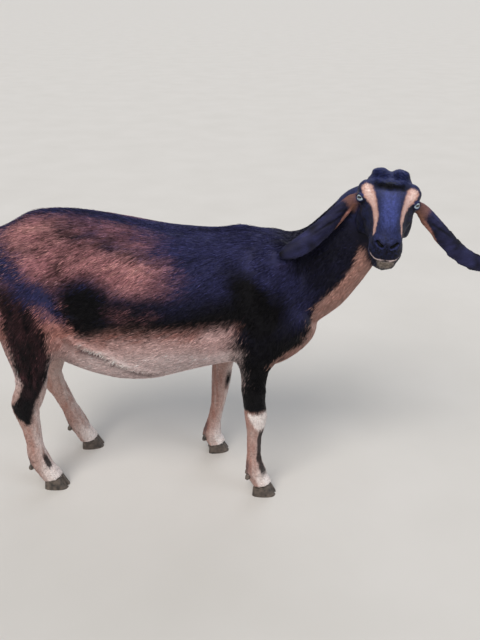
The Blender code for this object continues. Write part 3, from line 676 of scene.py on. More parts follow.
class Places:
    """Places on the goat, and what its markings go by there. Scatter moves each edge hair by hair."""

    def __init__(self, points, normals, shares, scatter):
        self.x, self.y, self.z = x, y, z = on_trunk(points)
        self.points, self.normals, self.shares, self.scatter = points, normals, shares, scatter
        sideways = np.sign(y) * normals[:, 1]
        self.outward = held(3 * sideways + 0.7)
        self.round_rear = rise(sideways, 0.25, 0.3)
        self.elbow = ELBOW["right"] + held(y / 0.06 + 0.5) * (ELBOW["left"] - ELBOW["right"])
        # patterns draw out along the hair: back and down on the body, down on the legs
        drawn = np.stack([0.26 * (0.94 * x + 0.34 * z), y, 0.94 * z - 0.34 * x], 1)
        self.hanging = points * [1, 1, 0.26]
        streak = cloud(drawn, 0.008, 2) * 0.6 + cloud(drawn, 0.028, 3) * 0.6
        down_leg = cloud(self.hanging, 0.006, 12) * 0.7 + cloud(points, 0.03, 13) * 0.4
        self.streak = streak + self.share("leg") * (down_leg - streak)
        # borders are hair-mixed on the ribs, and crisp down the neck and haunch
        ragged = scatter + 0.010 * cloud(drawn, 0.026) + 0.007 * cloud(drawn, 0.007, 1)
        haunch = fall(z, 0.54, 0.06) * fall(x, 0.27, 0.05)
        self.ragged = ragged * (1 - 0.75 * self.share("neck")) * (1 - 0.6 * haunch)
        self.local = in_head(points)
        self.fur = 0.0022 * cloud(self.local * [0.35, 1, 1], 0.0035, 5) + 0.25 * scatter
        # the black hair, with the painted blue sheen laid on where sheen() is high
        self.black = blend_of(BLACK, BLUE_SHEEN, self.sheen() * (0.92 + 0.55 * self.streak))
        self.fawn, self.dusk, self.outer_thigh = self.haunch_tones()

    def share(self, part):
        return share(self.shares, part)

    def within(self, distance, soft):
        """1 inside a border and 0 outside it, where distance is how far outside a place is."""
        return inside(distance + self.ragged, soft)

    def strays(self, sign, amount):
        """Single hairs of another colour: those that scatter drew far to one side."""
        return np.clip(sign * 60 * amount * self.scatter - 0.30, 0, 0.7)

    def sheen(self):
        """How much painted sheen, a painted blue reflection, lies on the black: most where the body faces
        up, and on the shoulder.
        """
        x, z = self.x, self.z
        # painted light: more sheen where the body faces up and the higher it stands
        lit = -0.02 + 0.65 * self.normals[:, 2] + 0.85 * rise(z, 0.52, 0.13)
        lit = lit + 0.50 * cloud(self.points, 0.11, 4)
        # painted highlights on the shoulder, and painted shade along the hollow behind it
        shine = sum(held(1 - patch(x, z, *where) / soft) for soft, *where in SHINE)
        shade_behind_shoulder = held(1 - (band(x, z, SHOULDER_LINE) - 0.010) / 0.035)
        lit = lit + 0.45 * held(shine) * (x < 0.90) - 0.75 * shade_behind_shoulder
        lit = lit * rise(z, 0.46, 0.08, least=0.1)
        return held(lit) * (1 - 0.80 * self.share("neck")) * (1 - 0.8 * self.share("leg"))

    def haunch_tones(self):
        """The haunch's tan, the dark of its outer side, and how far each place lies on that side."""
        x, z = self.x, self.z
        fawn = blend_of(FAWN, CREAM, (0.490 - z) / 0.12 + 0.3 * self.streak)
        fawn = laid(fawn, fall(z, 0.36, 0.06, most=0.8), PINK_TAN)
        fawn = laid(fawn, rise(z, 0.50, 0.05) * held(0.45 - 0.6 * self.streak), CHESTNUT)
        speckled = held(0.35 + 0.6 * cloud(self.hanging, 0.008, 17)) * rise(z, 0.27, 0.1, least=0.1)
        dusk = laid(blend_of(BLACK, DARK_BROWN, speckled),
                    self.strays(1, 0.35) * rise(z, 0.30, 0.1), CHESTNUT)
        outer = fall(z, 0.650, 0.05) * (x < 0.27) * self.within(x - reach_along(STIFLE_LINE, z), 0.012)
        outer = outer * self.within(reach_along(BACK_LINE, z) - x, 0.010) * self.outward
        return fawn, dusk, outer * np.maximum(self.round_rear, fall(z, 0.52, 0.05))


def mark_saddle(at, colours):
    """Rump and ribs: chestnut, brightest over the ribs, with dark and fair hairs mixed in."""
    x, z = at.x, at.z
    brown = np.minimum.reduce([patch(x, z, *where) for where in SADDLE])
    bright = np.maximum.reduce([oval(x, z, *where) for where in BRIGHT])
    coat = blend_of(DARK_BROWN, CHESTNUT, 0.66 + 0.36 * bright + 0.70 * at.streak)
    coat = laid(coat, held(bright * (0.35 + 0.8 * at.streak)), RUST)
    dim = np.maximum.reduce([dark * oval(x, z, *where) for dark, *where in DIM])
    coat = laid(coat, held(dim * (0.8 - 0.5 * at.streak)), SOOT)
    coat = laid(coat, at.strays(-1, 1.0), SOOT)
    coat = laid(coat, at.strays(1, 0.8), RUST)
    return laid(colours, at.within(brown, 0.052), coat)


def mark_belly(at, colours):
    """Below the line of the ribs: pinkish tan, then cream, with a pale edge to the flap of the flank and
    painted shadow under it.
    """
    below = level_along(BELLY_LINE, at.x) - at.z
    pale = blend_of(FAWN, CREAM, (below - 0.012) / 0.070 + 0.25 * at.streak)
    pale = laid(pale, oval(at.x, at.z, 0.04, *BELLY_ROSE).clip(0, 0.8), ROSE_CREAM)
    pale = laid(pale, rise(below, 0.02, 0.05) * at.strays(-1, 0.6), ROSE_CREAM)
    pale = laid(pale, np.clip(0.25 + 0.6 * at.streak, 0, 0.7) * fall(below, 0.085, 0.03), ROSE_CREAM)
    on_belly = at.within(np.maximum(-below, at.x - at.elbow), 0.040) * (at.x > 0.04)
    colours = laid(colours, on_belly, pale)
    under, there = below_fold(at.points)
    edge = inside(abs(under + 0.004) - 0.004 + 0.3 * at.ragged, 0.004).clip(0, 0.8)
    colours = laid(colours, there * edge, WHITE)
    # painted shadow on the belly under the flap
    shadow = rise(under, 0.001, 0.004) * fall(under, 0.045, 0.04)
    colours = laid(colours, 0.60 * there * shadow, CREAM * 0.50)
    # a darker painted shadow line just under the flap's edge
    fold_shadow_line = rise(under, 0.001, 0.003) * fall(under, 0.032, 0.014)
    return laid(colours, 0.85 * there * fold_shadow_line, DARK_BROWN * 1.3)


def mark_haunch(at, colours):
    """Tan before the thigh, dark on its outer side, cream along its back and inside."""
    before = fall(at.z, 0.650, 0.05) * (at.x < 0.27) * fall(at.z, 0.60, 0.03)
    colours = laid(colours, before, at.fawn)
    down_to_hock = held((at.z - HOCK_LOW) / 0.012 + 0.5 + 40 * at.ragged)
    return laid(colours, at.outer_thigh * down_to_hock, at.dusk)


def mark_flank(at, colours):
    """Black over the flank, the bands that run up over the thigh and along the ribs, and the back."""
    x, z = at.x, at.z
    # the band over the thigh is black hair with a painted blue sheen
    sheen_blue = blend_of(at.black, BLUE_SHEEN, 0.85 + 0.4 * at.streak)
    colours = laid(colours, at.within(band(x, z, THIGH_BAND) - 0.025, 0.030) * at.round_rear, sheen_blue)
    plain = blend_of(at.black, BLACK, 0.70 - 0.5 * rise(x, 0.40, 0.06))
    hairs = oval(x, z, 0.03, *MOTTLE) * np.clip(0.15 + at.streak + 40 * at.scatter, 0, 0.8)
    mottled = laid(plain, hairs, CHESTNUT * 0.36)
    colours = laid(colours, at.within(band(x, z, SIDE_BAND) - 0.032, 0.036), mottled)
    colours = laid(colours, at.within(patch(x, z, *FLANK_PATCH), 0.024), BLACK)
    before_elbow = held((x - at.elbow + 0.006 + 1.3 * at.ragged) / 0.024) * (z > 0.40)
    colours = laid(colours, before_elbow, at.black)
    ridge = abs(at.y) - 0.024 - 0.006 * rise(x, 0.25, 0.2)
    return laid(colours, at.within(ridge, 0.012) * rise(z, 0.66, 0.02), at.black)


def mark_brisket(at, colours):
    """Tan down the front of the neck, on the brisket, and between the forelegs."""
    x, z = at.x, at.z
    tan = laid(TAN, np.clip(0.20 + 0.5 * at.streak, 0, 0.8), PINK_TAN)
    neck = at.within(reach_along(THROAT_LINE, z) - x, 0.010) * (x > 0.70) * (z > 0.40)
    neck = neck * at.within(z - 0.712 + 1.5 * (x - 0.972), 0.012)  # the throat itself is black
    under = held((0.432 - z) / 0.012 + 60 * at.ragged) * (x > 0.60) * (x < 0.92)
    under = under * fall(abs(at.y), 0.075, 0.02)
    trunk = 1 - held(at.share("head") + at.share("ear"))
    return laid(colours, np.maximum(neck, under) * trunk, tan)


def foreleg_over(own, at, facing, left):
    """Black outside down to the knee, a white knee, and a dark stripe down the front below it."""
    x, z = at.x, at.z
    black_top = held((z - KNEE_TOP) / 0.010 + 0.5 + 60 * at.ragged)
    cover = held(8 * (at.outward - 0.74) + 3 * held(at.normals[:, 0]))
    own = laid(own, black_top * cover, at.black)
    narrow = (z - KNEE_LOW) / (KNEE_TOP - KNEE_LOW)
    knee = fall(z, KNEE_TOP, 0.006) * held(narrow * 3 + 0.5)
    own = laid(own, 0.95 * knee * held((facing - 0.55 + 0.9 * narrow) / 0.3), WHITE)
    if left:
        own = laid(own, oval(x, z, 0.008, *LEFT_KNEE_SPOT), BLACK)
    stripe = fall(z, KNEE_LOW + 0.006, 0.012) * rise(z, 0.060, 0.015)
    return laid(own, 0.92 * (stripe * held((facing - 0.76 + 3 * at.ragged) / 0.10)), SOOT)


def hindleg_over(own, at, facing):
    """Dark outside down to the hock, fawn inside, and a short dark stripe over the pastern."""
    z = at.z
    high = held((z - HOCK_LOW) / 0.010 + 0.5 + 50 * at.ragged)
    own = laid(own, high * at.outer_thigh, at.dusk)
    own = laid(own, held((z - 0.22 + at.ragged) / 0.16) * (1 - at.outer_thigh), at.fawn)
    stripe = fall(z, 0.122, 0.015) * rise(z, 0.046, 0.015)
    return laid(own, 0.92 * (stripe * held((facing - 0.90 + at.ragged) / 0.04)), SOOT)


def mark_legs(at, colours):
    """Tan, pale towards the foot, with dark hair over the dewclaws."""
    forward, sideways, z = at.normals[:, 0], at.normals[:, 1], at.z
    sleeve = blend_of(PINK_TAN, TAN, 0.35 + 0.9 * at.streak - 0.5 * forward)
    sleeve = laid(sleeve, np.clip(forward * (0.5 + at.streak), 0, 0.5), WHITE)
    sleeve = laid(sleeve, fall(z, 0.100, 0.050) * np.clip(0.6 + forward, 0.1, 1), WHITE)
    for leg in LEGS:
        left = leg.endswith("left")
        fore = leg.startswith("fore")
        # the stripes stand a little to the outside of the leg's front
        ahead_part, aside_part = (0.80, 0.60) if fore else (0.90, 0.44)
        facing = forward * ahead_part + (1 if left else -1) * sideways * aside_part
        own = foreleg_over(sleeve, at, facing, left) if fore else hindleg_over(sleeve, at, facing)
        colours = laid(colours, at.share(leg), own)
    heel = inside(abs(z - 0.085) - 0.022, 0.02) * rise(-forward, 0.35, 0.4)
    return laid(colours, 0.7 * heel, blend_of(DARK_BROWN, FAWN, 0.3 + at.streak))


def mark_head(at, colours):
    """Black with a painted blue sheen, strongest down the middle, pale stripes over the eyes, pale lips
    and a grey chin.
    """
    local, fur = at.local, at.fur
    mirrored = to_left(local)
    forward, leftward, upward = local.T
    # painted sheen: a blue reflection down the middle of the face and where it faces up
    middle_strip = fall(abs(leftward), 0.024, 0.014) * rise(upward, -0.01, 0.02)
    middle_strip = middle_strip * held((forward + 0.002 + 2 * fur) / 0.045)
    grizzled = cloud(local * [0.3, 1, 1], 0.0022, 15)
    off_middle = 0.07 + 0.12 * grizzled + 0.3 * held(at.normals[:, 2])
    sheen_blue = middle_strip * (0.75 + 0.35 * grizzled) + (1 - middle_strip) * off_middle
    face = blend_of(BLACK, FACE_SHEEN, sheen_blue)
    # painted shadow in the hollow under the forelock, darker than the black hair
    hollow = np.linalg.norm((mirrored - FORELOCK_HOLLOW) / [1, 2.4, 1.5], axis=1) + 2 * fur
    face = laid(face, fall(hollow, 0.026, 0.016, most=0.97), BLACK * 0.6)

    wide = np.interp(forward, STRIPE_AT, STRIPE_WIDE)
    off_stripe = off_line(mirrored, BROW_STRIPE)
    lane = inside(off_stripe - wide + fur, 0.0045)
    lane = lane * held((forward + 0.014 + 2 * fur) / 0.006)
    core = held(0.85 - off_stripe / wide + 0.5 * grizzled)
    fair = blend_of(STRIPE, PALE_STRIPE, core * np.clip(1.0 - forward / 0.16, 0.35, 1))
    face = laid(face, lane, fair)
    spot = np.linalg.norm(mirrored - EAR_ROOT_SPOT, axis=1) - 0.016
    face = laid(face, 0.8 * inside(spot + fur, 0.008), EAR_LINING)

    hang = -0.070 - upward  # how far below the lips
    chin = rise(hang, 0.0, 0.004) * rise(forward, 0.115, 0.020)
    chin = chin * held((0.030 - hang + 3 * fur) / 0.010)
    chin = chin * held((0.0265 - 0.50 * hang - abs(leftward - 0.004) + 3 * fur) / 0.008)
    grey = CHIN_GREY * (1.1 + 0.35 * grizzled - 14 * hang.clip(0, 0.03))[:, None]
    face = laid(face, chin * held(0.92 + 0.3 * grizzled), grey)
    lips = inside(off_line(mirrored, LIP_LINE) - 0.0031 + 0.5 * fur, 0.002)
    face = laid(face, lips * rise(forward, 0.086, 0.015), CREAM)
    mouth_gap = off_line(mirrored + [0, 0, 0.0035], LIP_LINE)
    face = laid(face, inside(mouth_gap - 0.0016, 0.001).clip(0, 0.9), BLACK)
    corner = off_line(mirrored, LIP_LINE[-2:]) - 0.0035
    face = laid(face, inside(corner, 0.004), MOUTH_PINK)
    # painted shade inside the nostrils, darker than the black hair
    nostril = off_line(mirrored * [NOSE_FLAT, 1, 1], NOSTRIL)
    nostril = np.where(forward > 0.14, nostril, 1.0)
    face = laid(face, fall(nostril, 0.0040, 0.0015), BLACK * 0.5)
    return laid(colours, at.share("head"), face)


def mark_ears(at, colours):
    """Black outside with painted sheen and painted shade in its creases, tan lining, and a tan margin
    along the first half of the lower edge.
    """
    for part in EARS:
        along, lower = ear_lengths(at.points, part)
        off_upper, off_lower = off_rims(along, lower, part)
        margin = np.interp(along, MARGIN_AT, MARGIN_WIDE)
        margin = held((margin - off_lower + 0.5 * at.fur) / 0.003)
        inner = held(-(at.normals @ EAR_LOOKS) * 4 - 1.8)
        inner = inner * held((np.minimum(off_upper, off_lower) - 0.007 + at.fur) / 0.003)
        inner = inner * fall(along, 0.93, 0.03)
        root = held((0.16 - along + 4 * at.fur) / 0.05)
        # painted blue sheen on the black outside, and painted shade in its creases
        outer = blend_of(BLACK, BLUE_SHEEN, 0.5 + 0.5 * cloud(at.points, 0.02, 16) + 0.4 * at.streak)
        outer = laid(outer, 0.75 * ear_creases(along, lower, part), BLACK * 0.7)
        pinker = 0.35 + 0.5 * cloud(at.points, 0.03, 18) + 0.4 * cloud(at.points, 0.004, 19) - 0.5 * root
        own = laid(outer, np.maximum(margin, inner), blend_of(EAR_LINING * 0.75, MOUTH_PINK, pinker))
        own = laid(own, 0.6 * root, EAR_LINING)
        colours = laid(colours, at.share(part), own)
    return colours


def mark_tail(at, colours):
    """Black above, cream below."""
    below = held(-at.normals[:, 2] * 2 + (at.normals[:, 0] - 0.2) * 2)
    return laid(colours, at.share("tail"), laid(at.black, below, CREAM))


def markings(points, normals, shares, scatter):
    """The coat's colour at each place, from the ground colour up."""
    at = Places(points, normals, shares, scatter)
    colours = at.black
    for mark in (mark_saddle, mark_belly, mark_haunch, mark_flank, mark_brisket, mark_legs, mark_head,
                 mark_ears, mark_tail):
        colours = mark(at, colours)
    return np.clip(colours, 0.002, 0.95)


def add_colours(mesh, colours):
    made = mesh.attributes.new("coat", "FLOAT_COLOR", "POINT")
    made.data.foreach_set("color", np.c_[colours, np.ones(len(colours))].astype(np.float32).ravel())


points, edges, shares = measured(hide.data)
normals = normals_of(hide.data)
# painted shade: the hide between the locks is painted darker, less so on the head and ears
shade_between_locks = 0.85 + 0.11 * (share(shares, "head") + share(shares, "ear"))  # darker between the hairs
add_colours(hide.data, markings(points, normals, shares, np.zeros(len(points))) * shade_between_locks[:, None])


def node(tree, kind, settings=None, links=None):
    """Adds a shader node; settings go to its sockets or properties, links bring in other outputs."""
    made = tree.nodes.new("ShaderNode" + kind)
    for key, value in (settings or {}).items():
        if key in made.inputs:
            made.inputs[key].default_value = value
        else:
            setattr(made, key, value)
    for key, source in (links or {}).items():
        tree.links.new(source, made.inputs[key])
    return made


def new_material(name):
    made = bpy.data.materials.new(name)
    made.use_nodes = True
    made.node_tree.nodes.clear()
    return made, made.node_tree


def shaded(tree, colour, value, darkest, lightest, start=0.0, end=1.0):
    """A colour made darker or lighter as value goes from start to end."""
    shade = node(tree, "MapRange",
                 {"From Min": start, "From Max": end, "To Min": darkest, "To Max": lightest},
                 {"Value": value})
    mixed = node(tree, "VectorMath", {"operation": "SCALE"},
                 {"Vector": colour, "Scale": shade.outputs["Result"]})
    return mixed.outputs["Vector"]


def surface(tree, settings, links):
    shader = node(tree, "BsdfPrincipled", settings, links)
    node(tree, "OutputMaterial", {}, {"Surface": shader.outputs["BSDF"]})


# Short goat hair over skin: each hair is glossy, the coat as a whole has a soft broad shine
hide_hair, tree = new_material("short_hair_over_hide")
tone = node(tree, "Attribute", {"attribute_name": "coat"})
place = node(tree, "TexCoord")
drawn = node(tree, "Mapping", {"Scale": (0.3, 1, 1)}, {"Vector": place.outputs["Object"]})
# single hairs are 0.05 mm thick; they are drawn as strands of 1.4 mm so that they show
hairs = node(tree, "TexNoise", {"Scale": 1 / 0.0028, "Detail": 3.0, "Roughness": 0.6},
             {"Vector": drawn.outputs["Vector"]}).outputs["Fac"]
raised = node(tree, "Bump", {"Strength": 0.55, "Distance": 0.0012}, {"Height": hairs})
gloss = node(tree, "MapRange", {"To Min": 0.46, "To Max": 0.62}, {"Value": hairs})
surface(tree, {"IOR": 1.5, "Sheen Weight": 0.04, "Sheen Roughness": 0.4, "Specular IOR Level": 0.13},
        {"Base Color": shaded(tree, tone.outputs["Color"], hairs, 0.72, 1.22, 0.3, 0.7),
         "Roughness": gloss.outputs["Result"], "Normal": raised.outputs["Normal"]})
hide.data.materials.clear()
hide.data.materials.append(hide_hair)


# ---- coat ----
# Summer hair of 10 to 20 mm lies flat along the body and down the legs. It is laid here as fine
# closed locks, rougher on the ridge of the back and longest on the tail.

# Locks to the square metre, far fewer than the real hairs
DENSITY = {"trunk": 82000, "leg": 70000, "head": 150000, "ear": 200000, "tail": 60000, "ridge": 90000,
           "forelock": 200000, "fringe": 110000}
hide.data.calc_loop_triangles()
corners = pulled(hide.data.loop_triangles, "vertices", 3, np.int32)
loops = pulled(hide.data.loop_triangles, "loops", 3, np.int32)
corner_spots = pulled(hide.data.uv_layers["OFBake"].data, "uv", 2)[loops]
sides = points[corners]
areas = np.linalg.norm(np.cross(sides[:, 1] - sides[:, 0], sides[:, 2] - sides[:, 0]), axis=1) / 2
normals = unit(evened(normals.copy(), edges, 2))


def along_skin(way, normals):
    """A direction laid flat on the skin."""
    return unit(way - normals * np.sum(way * normals, axis=1, keepdims=True))


def lie_of(points, normals, shares):
    """The way the hair lies: back along the trunk, down the neck and legs, off the nose."""
    x, y, z = on_trunk(points)
    below_trunk = fall(z, 0.62, 0.2)
    haunch = below_trunk * fall(x, 0.26, 0.06)
    shoulder = fall(z, 0.60, 0.16) * rise(x, 0.62, 0.06)
    way = np.tile([-1.0, 0.0, -0.22], (len(points), 1))
    way = way + haunch[:, None] * np.array([0.55, 0, -1.1])
    way = way + shoulder[:, None] * np.array([0.5, 0, -1.2])
    way[:, 2] -= 0.35 * held(abs(y) / 0.12) * (1 - below_trunk)
    local = in_head(points)
    across, upward = local[:, 1:2], local[:, 2:3]
    back = -ahead[None, :] + 0.30 * np.sign(across) * aside * held(abs(across) / 0.03)
    back = back - 0.45 * crown * held((-upward - 0.01) / 0.05)
    ways = {"neck": np.array([-0.72, 0, -0.70]), "leg": np.array([-0.10, 0, -1.0]), "head": back}
    for part in EARS:
        low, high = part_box(part)
        outward = low.x - high.x if part == "ear_right" else high.x - low.x
        ways[part] = unit([outward, 0, low.z - high.z])
    ways["tail"] = np.array([-0.2, 0, -1.0])
    for part, own in ways.items():
        way += share(shares, part)[:, None] * (own - way)
    way += 0.16 * np.stack([cloud(points, 0.05, seed) for seed in (7, 8, 9)], 1)
    return along_skin(way, normals)


draw = np.random.default_rng(7)


def roots(kind, where):
    """Random places on the hide, as dense as this kind of hair grows, wherever where is 1."""
    wanted = areas * (DENSITY[kind] * where)[corners].mean(1)
    total = int(wanted.sum())
    chosen = draw.choice(len(areas), total, p=wanted / wanted.sum())
    a, b = draw.random((2, total))
    flip = a + b > 1
    a, b = np.where(flip, 1 - a, a), np.where(flip, 1 - b, b)
    weight = np.stack([1 - a - b, a, b], 1)[:, :, None]
    at = corners[chosen]
    return ((points[at] * weight).sum(1), unit((normals[at] * weight).sum(1)),
            (shares[at] * weight).sum(1), (corner_spots[chosen] * weight).sum(1))


ROOT_DEEP = 0.0009  # how far each lock starts inside the hide
PATCH_WIDE = 0.003  # each lock's own patch on the unwrap
LOCK_FACES = [(0, 1, 4, 3), (1, 2, 5, 4), (2, 0, 3, 5), (3, 4, 6), (4, 5, 6), (5, 3, 6)]
LOCK_SPOTS = np.array([(0, 0), (1, 0), (0.5, 0.1), (0, 0.5), (1, 0.5), (0.5, 0.6), (0.5, 1)])
LOCK_SHADES = np.array([0.74, 0.74, 0.82, 0.96, 0.96, 1.06, 1.14])  # from the root to the tip


def lock_colours(colours, shading):
    """Each lock its own shade, and darker at its root than at its tip: dark hair much, fair hair less."""
    fair = held(colours.mean(1) / 0.30)[:, None]
    own = draw.normal(0, 1, len(colours))[:, None]
    colours = colours * np.exp(own * (0.40 - 0.16 * fair) * shading)
    shades = 1 + (LOCK_SHADES[None, :] - 1) * (1 - 0.45 * fair) * shading
    return np.clip(colours[:, None, :] * shades[:, :, None], 0.001, 0.95).reshape(-1, 3)


def lock_mesh(name, corner, spot):
    """Closed locks from the seven corners of each, and where each root stands on the unwrap."""
    n = len(corner)
    mesh = bpy.data.meshes.new(name)
    first = np.arange(n)[:, None] * 7
    loop_verts = np.concatenate([first + np.array(face) for face in LOCK_FACES], axis=1).ravel()
    sizes = np.tile([len(face) for face in LOCK_FACES], n)
    mesh.vertices.add(n * 7)
    mesh.vertices.foreach_set("co", corner.astype(np.float32).ravel())
    mesh.loops.add(len(loop_verts))
    mesh.loops.foreach_set("vertex_index", loop_verts.astype(np.int32))
    mesh.polygons.add(len(sizes))
    mesh.polygons.foreach_set("loop_start", np.r_[0, np.cumsum(sizes)[:-1]].astype(np.int32))
    mesh.update(calc_edges=True)
    uv = (spot[:, None, :] + (LOCK_SPOTS - 0.5)[None] * PATCH_WIDE).clip(0, 1)
    layer = mesh.uv_layers.new(name="OFBake")
    layer.data.foreach_set("uv", uv.reshape(-1, 2)[loop_verts].astype(np.float32).ravel())
    return mesh


def locks(name, found, length, width, lift, colour_scatter=0.011, droop=0.35, way=None, spread=0.11,
          shading=1.0, rounded=True):
    """One piece of many closed locks: three corners at the root, three half way, and a tip."""
    at, out, part, spot = found
    way = lie_of(at, out, part) if way is None else way
    n = len(at)
    turn = draw.normal(0, spread, n)[:, None]
    way = unit(way * np.cos(turn) + np.cross(out, way) * np.sin(turn))
    side = np.cross(out, way)
    length = (length * draw.uniform(0.75, 1.25, n))[:, None]
    width = (width * draw.uniform(0.7, 1.25, n))[:, None]
    lift = (lift * draw.uniform(0.5, 1.5, n))[:, None]
    base = at - out * ROOT_DEEP
    half = at + way * length * 0.48 + out * length * lift * 0.62
    tip = at + way * length + out * length * lift * (1 - droop)
    depth = width * 0.28
    corner = np.stack([
        base - side * width * 0.32, base + side * width * 0.32, base + out * depth,
        half - side * width * 0.5 - out * depth * 0.4, half + side * width * 0.5 - out * depth * 0.4,
        half + out * depth * 0.6, tip], 1)
    colours = markings(at, out, part, draw.normal(0, 1, n) * colour_scatter)
    mesh = lock_mesh(name, corner, spot)
    add_colours(mesh, lock_colours(colours, shading))
    mesh.validate()
    if rounded:
        mesh.shade_smooth()
    else:
        mesh.shade_flat()
    made = shown(name, mesh)
    mesh.materials.append(lock_hair)
    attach(made, "root")


# The same hair, as locks: glossier, because the light runs along each of them
lock_hair, tree = new_material("goat_hair_locks")
tone = node(tree, "Attribute", {"attribute_name": "coat"})
place = node(tree, "TexCoord")
# the grain within a lock is 1.1 mm, where a single hair is 0.05 mm
strands = node(tree, "TexNoise", {"Scale": 1 / 0.0022, "Detail": 2.0},
               {"Vector": place.outputs["Object"]})
surface(tree, {"IOR": 1.5, "Roughness": 0.5, "Specular IOR Level": 0.13},
        {"Base Color": shaded(tree, tone.outputs["Color"], strands.outputs["Fac"], 0.80, 1.20, 0.3, 0.7)})

x_of, y_of, z_of = on_trunk(points)
local = in_head(points)
bare = rise(eye_gap, 0.0175, 0.003)  # no hair on the lids' rims or on the lips
bare = bare * rise(off_line(to_left(local), LIP_LINE), 0.006, 0.003)
nose = rise(local[:, 0], 0.150, 0.006) * (share(shares, "head") > 0.5) * (local[:, 2] > -0.052)
feet = rise(z_of, 0.036, 0.01)
trunk_share = share(shares, "trunk") + share(shares, "neck")
found = roots("trunk", trunk_share)
for name, side in (("coat_right_side", -1), ("coat_left_side", 1)):
    forward, leftward, height = on_trunk(found[0])
    own = leftward * side > 0
    third = np.searchsorted(np.quantile(forward[own], [1 / 3, 2 / 3]), forward)
    for number, (part, slot) in enumerate((("rear", "coat_brown"), ("middle", "coat_brown"),
                                           ("front", "coat_black"))):
        chosen = own & (third == number)
        throat = rise(height[chosen], 0.66, 0.06) * (forward[chosen] > 0.90)
        locks(f"{name}_{part}", [values[chosen] for values in found], 0.019 - 0.009 * throat, 0.0015,
              0.060)
for name, pair in (("coat_forelegs", LEGS[:2]), ("coat_hindlegs", LEGS[2:])):
    found = roots("leg", sum(share(shares, leg) for leg in pair) * feet)
    locks(name, found, 0.0090, 0.0012, 0.06, colour_scatter=0.006, shading=0.7)
found = roots("head", share(shares, "head") * bare * (1 - nose))
locks("coat_head", found, 0.0062, 0.0011, 0.04, colour_scatter=0.004, shading=0.3, rounded=False)
for part in EARS:
    found = roots("ear", share(shares, part))
    locks("coat_" + part, found, 0.0050, 0.0010, 0.0, colour_scatter=0.003, shading=0.4, rounded=False)
locks("coat_tail", roots("tail", share(shares, "tail")), 0.036, 0.0022, 0.12)

# Ridge of the back: black hair that stands up and runs back
ridge = fall(abs(y_of), 0.020, 0.006) * (normals[:, 2] > 0.5) * (z_of > 0.66)
ridge = ridge * fall(x_of, 0.76, 0.06)
found = roots("ridge", ridge * trunk_share)
locks("coat_ridge", found, 0.022, 0.0017, 0.17, droop=0.4)

# Forelock: long glossy hair parted on the poll, curling down to both sides and over the forehead
poll = held(1 - np.hypot((local[:, 0] + 0.060) / 0.048, local[:, 1] / 0.048)) ** 0.5
poll = poll * (local[:, 2] > 0.015) * share(shares, "head")
poll = poll * rise(normals @ ahead, -0.45, 0.2) * (local[:, 0] > -0.080)
poll = poll * fall(abs(local[:, 1]), 0.038, 0.010)
found = roots("forelock", poll)
parted = np.clip(in_head(found[0])[:, 1] / 0.02, -1, 1)
fan = np.stack([0.85 + 0 * parted, parted * 0.75, 0.1 + 0 * parted], 1) @ HEAD_AXES
locks("coat_forelock", found, 0.020, 0.0015, 0.05, droop=1.3, way=along_skin(fan, found[1]), spread=0.14)

# A fringe of longer pale hair hangs from the flap of the flank, with one tuft
below, there = below_fold(points)
edge = fall(abs(below + 0.006), 0.007, 0.004) * there * (abs(y_of) > 0.05)
found = roots("fringe", edge)
tuft = held(1 - abs(on_trunk(found[0])[0] - 0.352) / 0.014)
locks("coat_flank_fringe", found, 0.011 + 0.012 * tuft, 0.0011, 0.14,
      way=unit(np.array([-0.70, 0, -0.72]) + 0 * found[0]), spread=0.3)


# ---- eyes ----
# Glass eyes: a dark ball with a pale blue-grey iris painted behind clear glass, and the wide flat
# pupil of a goat lying level along the lids.
IRIS, PUPIL_LONG, PUPIL_HIGH = 0.255, 0.150, 0.062  # angles off the pupil's middle, in half turns
GLASS_PROUD = 0.035  # of the ball's radius, at its very front
glass_eye, tree = new_material("painted_glass_eye")
uv = node(tree, "UVMap", {"uv_map": "OFBake"})
split = node(tree, "SeparateXYZ", {}, {"Vector": uv.outputs["UV"]})


def maths(operation, *values, clamp=False):
    made = node(tree, "Math", {"operation": operation, "use_clamp": clamp})
    for i, value in enumerate(values):
        if isinstance(value, (int, float)):
            made.inputs[i].default_value = value
        else:
            tree.links.new(value, made.inputs[i])
    return made.outputs[0]


def painted_over(under, code, amount):
    """A colour painted over another, wherever amount is 1."""
    made = node(tree, "Mix", {"data_type": "RGBA"}, {"Factor": amount})
    tree.links.new(under, made.inputs[6])
    made.inputs[7].default_value = (*linear(code), 1)
    return made.outputs[2]


def two_tones(tree, value, codes, starts):
    """One colour up to the first start, another from the second, and an even change between."""
    made = node(tree, "ValToRGB", {}, {"Fac": value})
    for stop, code, start in zip(made.color_ramp.elements, codes, starts):
        stop.color = (*linear(code), 1)
        stop.position = start
    return made.outputs["Color"]


across = maths("MULTIPLY_ADD", split.outputs["X"], 2.0, -1.0)
upward = maths("MULTIPLY_ADD", split.outputs["Y"], 2.0, -1.0)
radius = maths("SQRT", maths("ADD", maths("MULTIPLY", across, across), maths("MULTIPLY", upward, upward)))
# the pupil is a flat oval with squared ends
flat_x = maths("POWER", maths("ABSOLUTE", maths("DIVIDE", across, PUPIL_LONG)), 4.0)
flat_y = maths("POWER", maths("ABSOLUTE", maths("DIVIDE", upward, PUPIL_HIGH)), 4.0)
pupil = maths("MULTIPLY", maths("SUBTRACT", 1.12, maths("ADD", flat_x, flat_y)), 4.0, clamp=True)
fibres = node(tree, "TexNoise", {"Scale": 26.0, "Detail": 4.0}, {"Vector": uv.outputs["UV"]})
iris = two_tones(tree, fibres.outputs["Fac"], ("#7d94a6", "#c6d5de"), (0.35, 0.65))
white = maths("MULTIPLY", maths("SUBTRACT", radius, IRIS), 22.0, clamp=True)
painted = painted_over(painted_over(iris, "#2a2422", white), "#07080b", pupil)
surface(tree, {"IOR": 1.45, "Roughness": 0.12, "Coat Weight": 1.0, "Coat Roughness": 0.02},
        {"Base Color": painted})

